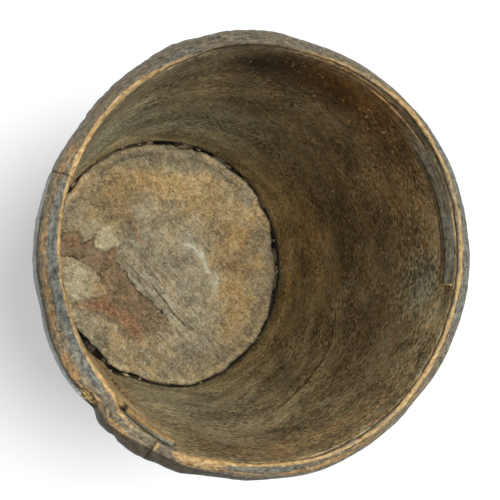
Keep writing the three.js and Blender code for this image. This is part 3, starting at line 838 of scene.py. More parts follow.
# The light share is painted light and shade, with the paler band round the edge.
skin = {
    "tan": 0.2 + on_disc(TAN) + soft_patch * 0.3,
    "brown": on_disc(BROWN) - 0.15 - soft_patch * 0.25,
    "light": 1.0 + pale_rim * 0.4 + upper_rim_light * 0.3 + on_disc(DISC_LIGHT_AND_SHADE),
    "scored": scored,
    "lost": 0.5 + clip(torn, -3, 3) / 6 - (1 - fading) * 0.45 - on_disc(SOFT_SIDES),
    "rust": ridge(red_line, 6) * 0.85 + on_disc(RED) - 0.15,
    "pale": ease(pale, -0.4, 0.4) + on_disc(((-74, 11, 5, 4, 0.35),)),
    "olive": np.maximum(ease(olive, -0.5, 0.5), ease(grey, -0.5, 0.5) * 0.6)
             - on_disc(((-66, -24, 9, 12, 0.9),)),
    "highlit_crease": ridge(highlit_crease, 1.9) * 0.95 + ridge(highlit_crease, 5.0) * 0.3 + on_disc(PALE_SPOTS),
    "orange": ridge(orange, 1.5) * 0.8 + ridge(stepped, 1.3) * 0.45 * ease(soft_patch, -0.6, 0.4)
              + on_disc(ORANGE_MARKS) + on_disc(ORANGE_DUST) * ease(patchy(x, y, 0.005, 107, 3), -0.6, 0.5),
    # Painted shade: shadows along the torn skin's edge, in the groove inside the rim, beside the orange ridge
    # and at the disc's very edge.
    "dark": clip(torn_edge_shadow + ridge(share - 0.925, 0.008) * groove_shade + ridge(from_ridge_shadow, 1.1) * 0.35
                 + ease(share, 0.985, 1.0) * 0.4)}
plain = np.zeros(len(disc_points) - share.size)
on_sides = {"light": plain + 1.0, "dark": np.append(np.tile(gap_shade, len(profile)), 0.9)}
for name, values in skin.items():
    keep(disc, name, np.concatenate([values, on_sides.get(name, plain)]))

# The packing. A strip of dark scrap hide pushed down into the gap beside the disc. It and the strip
# inside the mouth are both plain bent strips that lie against the wall.

PACKING_THICKNESS = 0.0027
PACKING_FOOT = 0.0025
PACKING_TOP = 0.012
PACKING_CLEARANCE = -0.0002

hide = Finish("packing hide", 0.2, "hide")
grain = hide.grain(0.012, 0.002, 4.0, 0.001)
hide.start("#1a1610", "#5a4d39", clip(grain["Streak"] * 1.4 + grain["Blotch"] - 0.9))
hide.done(0.85 + grain["Streak"] * 0.1, grain["Height"], 0.0008)


def squared(wave):
    """Turns a circle's wave into that of a square with round corners."""
    return wave.sum("SIGN") * wave.sum("ABSOLUTE").sum("POWER", 0.36)


packing_middle = (PACKING_TOP + PACKING_FOOT) / 2
packing_sizes = {
    "Start": PACKING_START, "Sweep": PACKING_SWEEP, "Strip Height": PACKING_TOP - PACKING_FOOT,
    "Strip Thickness": PACKING_THICKNESS, "Middle At Start": packing_middle, "Middle At End": packing_middle,
    "Clearance": PACKING_CLEARANCE, "Wander": 0.0005, "Wander Size": 0.006, "Taper": 0.0, "Columns": 260,
    "Rows": 30, "Hide": hide.material}
strip_tree, given = new_group("bent strip", "GeometryNodeTree", packing_sizes)
grid, along, across = flat_grid(strip_tree, given["Columns"], given["Rows"])
steps = given["Columns"] - 1
step = along * steps
phase = across * 360
close = clip(step.sum("MINIMUM", steps - step) / 2)
along = clip((step - 2) / (steps - 4))
angle = given["Start"] + along * given["Sweep"]
taper = ease(along, 0.5, 1.0) * given["Taper"]
middle = given["Middle At Start"] + along * (given["Middle At End"] - given["Middle At Start"])
middle += given["Strip Height"] * taper * 0.25
z = middle + squared(sine(phase)) * close * given["Strip Height"] * (1 - taper * 0.5) * 0.5
inward = given["Strip Thickness"] * (1 - taper) * (0.5 - squared(cosine(phase)) * close * 0.5)
slots = {0: angle * (math.radians(1) * GRAIN_RADIUS), 1: z, 2: inward * 0.3}
lay = node(strip_tree, "ShaderNodeCombineXYZ", slots)
drift = noise(lay, given["Wander Size"])
radius = inner_radius(angle, z) + lap_hollow(angle, z) - given["Clearance"] - inward - drift * given["Wander"]
height = z + (drift - 0.5) * given["Wander"] * 2
strip = marked(marked(grid, "hide", lay, "FLOAT_VECTOR"), "rise", sine(phase) * close)
give_shape(welded(moved_to(strip, turned_to(angle, radius, height))), given["Hide"])
grow("base_packing", strip_tree, packing_sizes, "packing_hide")

# The thongs. Twisted strips of pale rawhide in a running stitch, long outside and short inside: one
# goes round the base through the wall and the flange, the other up the lap through both ends of the
# sheet. Dry, broken bits of the same thong still stick out of the gap beside the disc.

THONG_WIDTH = 0.004
THONG = 0.0012
THONG_ROUND = 0.0005
THONG_BEND = 0.0012
THONG_SPACING = 0.0011
STITCH_POINTS = 6
BASE_STITCHES = 28
BASE_LENGTH = math.tau * 0.124
BASE_STITCH_HEIGHT = 0.0075
SEAM_STITCHES = 13
SEAM_FOOT = 0.028
SEAM_HEAD = 0.268
LAP_LEAD = 6
LAP_TOE = 1.2

hide = Finish("thong hide", 0.45, "lay")
grain = hide.grain(0.01, 0.0011, 8.0, 0.0008)
hide.start("#5e4c30", "#c2a66d", clip(grain["Streak"] * 1.5 + grain["Blotch"] * 0.8 - 0.65))
dirt = node(hide.tree, "ShaderNodeTexCoord", output=3)
hide.stain("#3c3020", hide.ragged(0.48, 0.01, 1.2, 0.2, Place=dirt) * 0.5)
hide.done(0.5 + grain["Blotch"] * 0.3, grain["Height"], 0.0006)

proud = SHEET + 0.0006 + THONG / 2
base_sizes = {
    "Stitches": BASE_STITCHES, "Points": BASE_STITCHES * STITCH_POINTS + 1, "Outside Share": 0.6,
    "Length": BASE_LENGTH, "Outside": proud, "Inside": -DISC_EDGE_GAP - FLANGE - GAP - THONG / 2 - 0.0005,
    "Width": THONG_WIDTH, "Thickness": THONG, "Unevenness": 0.0005, "Seed": 3, "Hide": hide.material}
seam_sizes = {
    **base_sizes, "Stitches": SEAM_STITCHES, "Points": SEAM_STITCHES * STITCH_POINTS - 2,
    "Outside Share": 0.7, "Length": SEAM_HEAD - SEAM_FOOT, "Inside": 0.0002, "Unevenness": 0.0004, "Seed": 8}


def lap_bulge(angle, z):
    """How far the lap pushes out whatever lies round the sheet."""
    turn = past(angle + slant(z), LAP_START)
    return (ease(turn, -LAP_LEAD, -LAP_TOE) - ease(turn, LAP_BACK, LAP_BACK + LAP_EASE)) * LAP_STEP


def chance(number, low, high, seed):
    """A random value for each stitch or stalk, the same in every run."""
    slots = {2: low, 3: high, "ID": number, "Seed": seed}
    return node(number.tree, "FunctionNodeRandomValue", slots, output=1, data_type="FLOAT")


def rounded(curve, count, radius):
    slots = {"Curve": curve, "Count": count, "Radius": radius}
    return node(curve.tree, "GeometryNodeFilletCurve", slots, mode="POLY")


def drawn_along(path, section):
    slots = {"Curve": path, "Profile Curve": section, "Fill Caps": True}
    return node(path.tree, "GeometryNodeCurveToMesh", slots)


stitch_tree, given = new_group("running stitch", "GeometryNodeTree", base_sizes)
index = node(stitch_tree, "GeometryNodeInputIndex")
corner = index % STITCH_POINTS
number = (index / STITCH_POINTS).sum("FLOOR")
out_share = given["Outside Share"]
share = (corner * 0.5 * out_share).sum("MINIMUM", out_share)
share += (corner - 3).sum("MAXIMUM", 0.0) * 0.5 * (1 - out_share)
outside = 1 - (corner - 2.5).sum("GREATER_THAN", 0.0)
hole = (index / 3 + 0.34).sum("FLOOR")
shift = chance(hole, -1.0, 1.0, given["Seed"])
lift = chance(hole, -1.0, 1.0, given["Seed"] + 1)
x = (number + share) / given["Stitches"] * given["Length"] + shift * given["Unevenness"]
z = given["Inside"] + outside * (given["Outside"] - given["Inside"])
point = node(stitch_tree, "ShaderNodeCombineXYZ", {0: x, 1: lift * given["Unevenness"], 2: z})
dots = moved_to(node(stitch_tree, "GeometryNodePoints", {"Count": given["Points"]}), point)
path = rounded(node(stitch_tree, "GeometryNodePointsToCurves", {0: dots}), 3, THONG_BEND)
path = node(stitch_tree, "GeometryNodeResampleCurve", {"Curve": path, "Length": THONG_SPACING}, mode="LENGTH")
lean = noise(node(stitch_tree, "GeometryNodeInputPosition"), 0.02, 2.0)
path = node(stitch_tree, "GeometryNodeSetCurveTilt", {"Curve": path, "Tilt": (lean - 0.5) * 0.9})
section = node(stitch_tree, "GeometryNodeCurvePrimitiveQuadrilateral", {
    "Width": given["Width"], "Height": given["Thickness"]})
give_shape(drawn_along(path, rounded(section, 2, THONG_ROUND)), given["Hide"])


def round_the_base(x, y):
    return x / BASE_LENGTH * 360, BASE_STITCH_HEIGHT + y


def up_the_lap(x, y):
    height = SEAM_FOOT + x
    return LAP_START + LAP_WIDTH / 2 - slant(height) - np.degrees(y / MOUTH_RADIUS), height


# A thong is made flat, as x along, y across and z outwards, and then wrapped on the bucket.
for name, sizes, wrap in (("base_thong", base_sizes, round_the_base), ("seam_thong", seam_sizes, up_the_lap)):
    thong = grow(name, stitch_tree, sizes, "thong_hide")
    flat = places(thong)
    angle, height = wrap(flat[:, 0], flat[:, 1])
    z = flat[:, 2]
    radius = inner_radius(angle, height) + lap_bulge(angle, height) * ease(z, 0.0, SHEET) + z
    keep(thong, "lay", flat + flat[:, :1] * np.array([0.0, 0.4, 0.0]))
    put(thong, turned_points(angle, radius, height))
    face_outwards(thong)

# The bits take a lighter copy of the thong hide: painted light that offsets the shade in the gap where they
# sit.
hide = Finish("thong painted lighter", 0.3, "lay")
grain = hide.grain(0.01, 0.0008, 5.0, 0.0008)
hide.start("#8d744a", "#eedcb2", clip(grain["Streak"] * 1.5 + grain["Blotch"] * 0.8 - 0.65))
hide.done(0.6 + grain["Blotch"] * 0.3, grain["Height"], 0.0004)

# Each bit has its angle and its length.
THONG_BITS = (
    (127, 0.005), (112, 0.004), (84, 0.006), (99, 0.007), (75, 0.005), (58, 0.007), (357, 0.005),
    (359, 0.003), (249, 0.008), (256, 0.003), (286, 0.003), (322, 0.003), (141, 0.005), (146, 0.003),
    (13, 0.003), (104, 0.003), (135, 0.003))
BIT_STEPS = 9
BIT_SIDES = 6
BIT_SEAT = 0.0011
BIT_HEIGHT = 0.0138
BIT_ARCH = 0.0024
BIT_HALF_WIDTH = 0.0011
BIT_HALF_THICKNESS = 0.0009

bit_points = []
for n, (at, reach) in enumerate(THONG_BITS):
    dice = np.random.default_rng(300 + n)
    seat = disc_radius(np.array([float(at)]))[0] + BIT_SEAT + dice.uniform(-0.0003, 0.0003)
    roll = np.linspace(0, 360, BIT_SIDES, endpoint=False) + dice.uniform(-40, 40)
    for share in np.linspace(0, 1, BIT_STEPS):
        arch = math.sin(math.pi * min(max(share, 0.06), 0.94))
        slim = 0.3 + 0.5 * arch + dice.uniform(-0.15, 0.35)
        across = BIT_HALF_WIDTH * slim * cosine(roll) + dice.uniform(-0.0003, 0.0003)
        rise = BIT_HEIGHT + math.sin(math.pi * share) * BIT_ARCH + BIT_HALF_THICKNESS * slim * sine(roll)
        turn = at + math.degrees((share - 0.5) * reach / seat)
        bit_points.append(turned_points(np.full(BIT_SIDES, turn), seat + across, rise))
rings = np.arange(len(bit_points) * BIT_SIDES).reshape(len(THONG_BITS), BIT_STEPS, BIT_SIDES)
low = rings[:, :-1]
beyond = np.roll(low, -1, axis=2)
bit_faces = np.stack([low, beyond, beyond + BIT_SIDES, low + BIT_SIDES], axis=-1).reshape(-1, 4).tolist()
bit_faces += rings[:, [0, -1]].reshape(-1, BIT_SIDES).tolist()
bits = shell_mesh("thong_bits", np.concatenate(bit_points), bit_faces, "thong_hide", hide.material)
keep(bits, "lay", places(bits))

# The rim's core. A bundle of dry grass stems laid round the mouth against the wall. At the worn hole
# in its cover the stems have frayed into fibres that stick out.

CORE_WIDTH = 0.0075
CORE_HEIGHT = 0.012
CORE_MIDDLE = HEIGHT - 0.012
CORE_START = 290.0
CORE_SWEEP = 359.2
CORE_SEAT = SHEET + GAP
STEM = 0.0013
STEMS = 19
STEM_STEPS = 160
STEM_WAVES = 9
STEM_SHIFT = 3.7
GOLDEN_ANGLE = 137.5
WORN_ANGLE = 216.8
FIBRES = 70
FIBRE = 0.00036
FIBRE_STEPS = 7
SHOULDER_RADIUS = 0.145
BUNDLE_SWELLS = (
    (199, 34, 0.0028), (208, 14, 0.0015), (140, 24, -0.0034), (63, 36, -0.0023), (96, 14, 0.001),
    (308, 24, -0.0011), (352, 16, 0.0013))

straw = Finish("straw", 0.4)
fibre = noise(straw.place, 0.0012, 4.0, 0.7)
patch = noise(straw.place, 0.007, 3.0)
straw.start("#7a5a2a", "#f0d492", clip(fibre * 1.5 + patch * 0.8 - 0.6))
# Dark patches on the stems: painted shade among them.
straw.stain("#1d150b", straw.ragged(0.5, 0.0022, 1.6, 0.15) * 0.85)
straw.done(0.55 + patch * 0.3, fibre, 0.0004)


def bundle_swell(angle):
    """How much wider or narrower than usual the bundle is."""
    return sum(near(angle, middle, reach) * rise for middle, reach, rise in BUNDLE_SWELLS)


def strung(count, angle, z, across, number, along):
    """Lines round the mouth at a distance outside the wall, each strung through its own points."""
    swell = bundle_swell(angle) * (across / CORE_WIDTH)
    radius = inner_radius(angle, z) + lap_bulge(angle, z) + CORE_SEAT + across + swell
    dots = moved_to(node(angle.tree, "GeometryNodePoints", {"Count": count}), turned_to(angle, radius, z))
    return node(angle.tree, "GeometryNodePointsToCurves", {0: dots, 1: number, 2: along})


def stalk_ring(thickness, sides):
    slots = {"Resolution": sides, "Radius": thickness}
    return node(thickness.tree, "GeometryNodeCurvePrimitiveCircle", slots)


stem_sizes = {
    "Count": STEMS, "Steps": STEM_STEPS, "Stem Radius": STEM, "Bundle Width": CORE_WIDTH,
    "Bundle Height": CORE_HEIGHT, "Middle": CORE_MIDDLE, "Start": CORE_START, "Wander": 0.0008,
    "Straw": straw.material}
tree, given = new_group("bundle of stems", "GeometryNodeTree", stem_sizes)
index = node(tree, "GeometryNodeInputIndex")
stem = (index / given["Steps"]).sum("FLOOR")
along = (index % given["Steps"]) / (given["Steps"] - 1)
spread = ((stem + 0.5) / given["Count"]).sum("SQRT")
seat = node(tree, "ShaderNodeCombineXYZ", {0: along * STEM_WAVES, 1: stem * STEM_SHIFT, 2: 0.0})
drift = (noise(seat, 1.0, 2.0) - 0.5) * given["Wander"]
round_bundle = stem * GOLDEN_ANGLE
out = (given["Bundle Width"] * 0.5 - given["Stem Radius"]) * spread * cosine(round_bundle) + drift
z = given["Middle"] + (given["Bundle Height"] * 0.5 - given["Stem Radius"]) * spread * sine(round_bundle)
angle = given["Start"] + along * CORE_SWEEP
stalks = strung(given["Count"] * given["Steps"], angle, z, given["Bundle Width"] * 0.5 + out, stem, along)
give_shape(drawn_along(stalks, stalk_ring(given["Stem Radius"], 6)), given["Straw"])
grow("rim_core", tree, stem_sizes, "stems")

fray_sizes = {
    "Count": FIBRES, "Fibre Radius": FIBRE, "Fibre Length": 0.011, "Spread": 0.0065, "Angle": WORN_ANGLE,
    "Straw": straw.material}
tree, given = new_group("frayed fibres", "GeometryNodeTree", fray_sizes)
index = node(tree, "GeometryNodeInputIndex")
fibre = (index / FIBRE_STEPS).sum("FLOOR")
along = (index % FIBRE_STEPS) / (FIBRE_STEPS - 1)
run = (along - 0.5) * given["Fibre Length"] * chance(fibre, 0.5, 1.2, 5)
sideways = run + chance(fibre, -1.0, 1.0, 6) * given["Spread"]
angle = given["Angle"] + sideways * math.degrees(1 / SHOULDER_RADIUS)
lean = chance(fibre, 22.0, 86.0, 7)
arch = sine(along * 180) * chance(fibre, -0.0004, 0.0018, 9)
arch = arch + along * chance(fibre, -0.0010, 0.0004, 10) + chance(fibre, -0.0004, 0.0004, 11)
z = CORE_MIDDLE + (CORE_HEIGHT * 0.5 + arch) * sine(lean) + run * chance(fibre, -0.35, 0.35, 8)
across = CORE_WIDTH * 0.5 * (1 + cosine(lean)) + arch * cosine(lean)
stalks = strung(given["Count"] * FIBRE_STEPS, angle, z, across, fibre, along)
give_shape(drawn_along(stalks, stalk_ring(given["Fibre Radius"], 5)), given["Straw"])
grow("frayed_fibres", tree, fray_sizes, "stems")

# The binding. Two strips of hide shrunk over the rim and the bundle, from the mouth's inner edge to a
# skirt below, butting at two cross joints. Handling has worn the inner edge down to gold.

BUTT_JOINT = 161.5
LAP_JOINT = 236.5
JOINT_GAP = 0.0004
BINDING_PROFILE = (
    (0.30, 312.9), (0.35, 314.1), (1.1, 314.95), (2.8, 315.1), (5.0, 314.7), (8.6, 313.4), (12.0, 310.4),
    (14.3, 305.0), (13.9, 298.4), (10.6, 293.4), (7.0, 290.4), (6.35, 286.0), (6.35, 280.0))
PROFILE_STEPS = 44
CURVE_STEPS = 24
BINDING_SPACING = 0.0016
BINDING_RADIUS = 0.143
HOLE_RADIUS = 0.149
HOLE_HALF_LENGTH = 0.0080
HOLE_HALF_HEIGHT = 0.0042
HOLE_RISE = 0.0076


def smooth_line(corners, count):
    """A smooth line through corner points, cut into even steps."""
    corners = np.array(corners)
    ends = np.array([2 * corners[0] - corners[1], *corners, 2 * corners[-1] - corners[-2]])
    line = []
    for before, start, stop, after in zip(ends, ends[1:], ends[2:], ends[3:]):
        for t in np.linspace(0, 1, CURVE_STEPS, endpoint=False):
            line.append(0.5 * (2 * start + (stop - before) * t
                               + (2 * before - 5 * start + 4 * stop - after) * t * t
                               + (3 * start - before - 3 * stop + after) * t ** 3))
    line = np.array([*line, corners[-1]])
    length = np.concatenate([[0], np.cumsum(np.hypot(*np.diff(line, axis=0).T))])
    even = np.linspace(0, length[-1], count)
    return np.stack([np.interp(even, length, line[:, i]) for i in (0, 1)], axis=1), even


def around_point(cells):
    """Whether any of the four cells that meet at each point is marked."""
    padded = np.pad(cells, 1)
    return cell_corners(padded).any(axis=-1)


def hide_shell(name, under, over_skin, cells, slot, material):
    """A sheet of hide with two faces. Wherever a cell has no neighbour, an edge closes the two faces."""
    low = np.arange(cells.size + sum(cells.shape) + 1).reshape(np.add(cells.shape, 1))
    faces = [cell_corners(low)[cells][:, ::-1], cell_corners(low + low.size)[cells]]
    padded = np.pad(cells, 1)
    for here, before, start, stop in ((padded[1:, 1:-1], padded[:-1, 1:-1], low[:, :-1], low[:, 1:]),
                                      (padded[1:-1, 1:], padded[1:-1, :-1], low[:-1, :], low[1:, :])):
        edge = here != before
        a, b = start[edge], stop[edge]
        faces.append(np.stack([a, b, b + low.size, a + low.size], axis=-1))
    points = np.concatenate([under.reshape(-1, 3), over_skin.reshape(-1, 3)])
    used, fresh = np.unique(np.concatenate(faces), return_inverse=True)
    return shell_mesh(name, points[used], fresh.reshape(-1, 4).tolist(), slot, material), used


def level(angle, table):
    """Reads a table of values round the mouth."""
    at, *columns = zip(*table)
    found = [np.interp(angle, at, column, period=360) for column in columns]
    return found if len(found) > 1 else found[0]


hide = Finish("binding hide", 0.5, "rim")
grain = hide.grain(0.018, 0.0013, 5.0, 0.0008)
fine = noise(hide.place, 0.0012, 4.0, 0.7)
coarse = noise(stretch(hide.place, 0.6), 0.0026, 4.0, 0.75, 0.4)


def patch_of(name, size, raggedness, softness, moved):
    slots = {0: stretch(hide.place, 0.25), 1: (moved, moved * 2, 0.0)}
    place = node(hide.tree, "ShaderNodeVectorMath", slots, operation="ADD")
    return hide.ragged(hide.kept(name), size, raggedness, softness, Place=place)


shade = swing(grain, Mottle=0.7, Streak=0.9) + (coarse - 0.5) * 1.2
hide.start("#383023", "#a39373", ease(shade, -0.38, 0.38))
hide.lay("#33362f", "#96988b", patch_of("grey", 0.005, 0.9, 0.25, 1.0) * 0.9)
hide.lay("#6f4d28", "#d6ab6e", patch_of("orange", 0.004, 1.5, 0.1, 2.0) * 0.9)
hide.stain("#241d15", grain["Crack"] * 0.5)
hide.lay("#8b622f", "#ecc888", patch_of("gold", 0.003, 0.9, 0.16, 4.0))
# A painted highlight along the outer edge.
hide.lay("#6d706c", "#c2c6c3", clip(hide.kept("edge")))
# Painted light and shade, from the light share.
hide.paint_light_and_shade()
# Painted shade on the outer side, in the creases and along a line, with the dark joints.
hide.lay("#15110b", "#4f4430", patch_of("dark", 0.004, 0.8, 0.25, 3.0) * 0.9)
hide.stain("#c9bc9a", hide.specks(0.06, 0.0022) * 0.5)
hide.done(0.4 + grain["Mottle"] * 0.3, grain["Height"] + fine * 0.2, 0.0006)

# Bands of tone round the rim: an angle, a strength, and the band's middle and half width in
# millimetres outwards from the mouth's edge.
GOLD = (
    (0, 0.7, 3.2, 2.6), (15, 0.6, 4.4, 2.4), (30, 0.75, 4.2, 1.8), (45, 0.85, 5.0, 2.6),
    (60, 0.55, 2.5, 1.6), (75, 0.7, 1.5, 1.2), (90, 0.3, 1.8, 1.4), (105, 0.35, 3.4, 1.4),
    (113, 0.5, 2.4, 1.4), (120, 0.75, 1.7, 1.3), (135, 1.05, 2.1, 1.6), (150, 1.05, 1.7, 1.5),
    (158, 1.2, 1.1, 2.0), (163, 1.0, 0.9, 1.5), (180, 0.8, 1.3, 1.4), (195, 0.8, 0.9, 1.3),
    (205, 0.95, 1.1, 1.4), (217, 1.1, 1.0, 1.9), (222, 0.75, 1.5, 1.8), (228, 0.55, 3.2, 2.5),
    (233, 0.3, 3.0, 2.6), (240, 0.35, 4.0, 2.0), (244, 0.95, 2.0, 3.2), (252, 1.1, 1.6, 4.0),
    (260, 1.0, 0.8, 1.6), (270, 0.95, 0.7, 1.5), (285, 0.7, 2.4, 1.6), (300, 0.7, 2.8, 1.6),
    (315, 0.75, 2.4, 2.2), (330, 0.8, 2.2, 1.8), (345, 0.75, 3.0, 1.8))
GREY = (
    (0, 0.55, 8.5, 3.5), (30, 0.8, 8.5, 3.5), (45, 0.3, 10, 3), (60, 0.35, 10, 3), (75, 0.45, 6.5, 3.5),
    (90, 0.4, 6, 4), (105, 0.5, 7.5, 2.5), (120, 0.55, 5, 2.5), (135, 0.2, 6, 2), (158, 0.15, 6, 2),
    (165, 0.7, 4.8, 2.0), (180, 0.95, 4.6, 2.6), (195, 1.1, 4.2, 2.4), (205, 1.0, 4.1, 2.2),
    (212, 0.8, 4.5, 2.0), (217, 0.6, 4.8, 2.0), (222, 0.35, 4, 2), (228, 0.2, 5, 2), (240, 0.2, 3, 2),
    (252, 0.1, 4, 2), (260, 0.7, 4.2, 1.9), (270, 0.85, 4.2, 2.1), (285, 0.3, 5, 2), (300, 0.2, 10, 3),
    (330, 0.4, 9, 3), (345, 0.9, 7.0, 2.8))
ORANGE = (
    (0, 0.25, 6, 3), (60, 0.2, 6, 4), (95, 0.25, 6, 5), (140, 0.3, 6, 5), (155, 0.45, 8, 5),
    (161, 0.55, 8, 5), (163, 0.5, 8.5, 2), (180, 0.6, 9.2, 1.6), (200, 0.62, 9.5, 1.7), (215, 0.6, 9.8, 2.2),
    (222, 0.6, 9, 3), (235, 0.4, 8, 2), (240, 0.2, 6, 2), (246, 0.5, 5.5, 1.8), (252, 0.6, 6.8, 1.6),
    (262, 0.6, 7.3, 1.6), (270, 0.6, 8, 1.6), (285, 0.85, 8.4, 1.8), (300, 0.5, 6.5, 3), (330, 0.3, 7, 4))
# How far the inner edge is set back, in millimetres, how strong the painted highlight on the outer edge
# and the line of painted shade inside it are, how strong the painted shade on the outer side is and how
# far down it begins, and the painted light and shade on the hide, as a share of its colour.
INSET = (
    (0, 0.5), (15, 1.2), (30, 2.2), (45, 2.5), (60, 1.2), (75, 0.4), (86, 1.2), (98, 2.4), (106, 2.3),
    (113, 1.0), (122, 0.0), (270, 0.0), (285, 0.4), (330, 0.3), (345, 0.7))
EDGE_HIGHLIGHT = ((160, 0.0), (165, 0.9), (205, 1.0), (216, 0.85), (224, 0.0))
SHADE_LINE = ((160, 0.0), (165, 0.5), (180, 0.7), (205, 0.95), (216, 0.8), (224, 0.0))
OUTER_SHADE = (
    (0, 0.35, 15), (45, 0.3, 15), (90, 0.3, 15), (150, 0.35, 15), (160, 0.4, 14), (165, 0.0, 14),
    (205, 0.0, 12), (215, 0.25, 12.5), (222, 0.8, 11.5), (228, 0.95, 10), (233, 1.0, 8.4), (240, 1.05, 7.4),
    (246, 1.05, 7.6), (252, 1.0, 9.2), (260, 0.9, 11), (270, 0.75, 12), (285, 0.45, 14), (330, 0.35, 15))
RIM_LIGHT_AND_SHADE = (
    (0, 1.0), (45, 1.0), (60, 1.05), (75, 0.95), (90, 0.88), (105, 0.8), (120, 0.7), (135, 0.82),
    (150, 0.95), (158, 1.1), (165, 0.98), (180, 0.85), (195, 0.68), (205, 0.92), (215, 1.12), (222, 1.0),
    (229, 1.25), (233, 1.1), (240, 0.85), (246, 0.95), (262, 1.0), (270, 0.92), (285, 1.0), (300, 0.95),
    (315, 1.0), (330, 1.05), (345, 1.0))
# Broad swells of the outer side, by angle, reach and height, and then bulges and dents by angle, place
# down the profile in millimetres, two half widths and height.
SWELLS = ((350, 60, 0.0006), (258, 26, -0.0012), (136, 12, 0.0009), (310, 14, -0.0009), (166, 8, -0.0006))
BULGES = (
    (234, 17, 8, 6, 0.0024), (246, 14, 5, 6, 0.0010), (228, 20, 0.9, 3, -0.0016), (226, 14, 1.2, 2, -0.0008),
    (240, 22, 1.5, 4, -0.001), (219, 22, 2, 3, -0.0008), (196, 7, 14, 2, -0.0005), (250, 20, 2, 3, -0.0008))
# Painted shade in the creases of the lap's bulge: an angle, a place down the profile in millimetres, two half
# widths and a strength.
CREVICE_SHADE = ((228, 20, 1.4, 4, 0.7), (240, 22, 2, 5, 0.4), (219, 22, 3, 4, 0.5))


def cut_hole(angle, down, middle):
    """Leaves out the cells of the worn hole, and draws the points on its border to a ragged oval."""
    run = (angle - WORN_ANGLE) * math.radians(1) * HOLE_RADIUS
    drop = down - middle
    from_hole = np.hypot(run / HOLE_HALF_LENGTH, drop / HOLE_HALF_HEIGHT)
    ragged = 1 + patchy(angle * 0.004, down, 0.0022, 31, 2) * 0.16
    cells = cell_corners(from_hole / ragged).mean(axis=-1) > 1
    border = around_point(~cells) & around_point(cells) & (from_hole > 0.01)
    scale = np.where(border, ragged / np.maximum(from_hole, 0.01), 1)
    angle = np.where(border, WORN_ANGLE + run * scale / (math.radians(1) * HOLE_RADIUS), angle)
    return np.where(border, middle + drop * scale, down), angle, cells


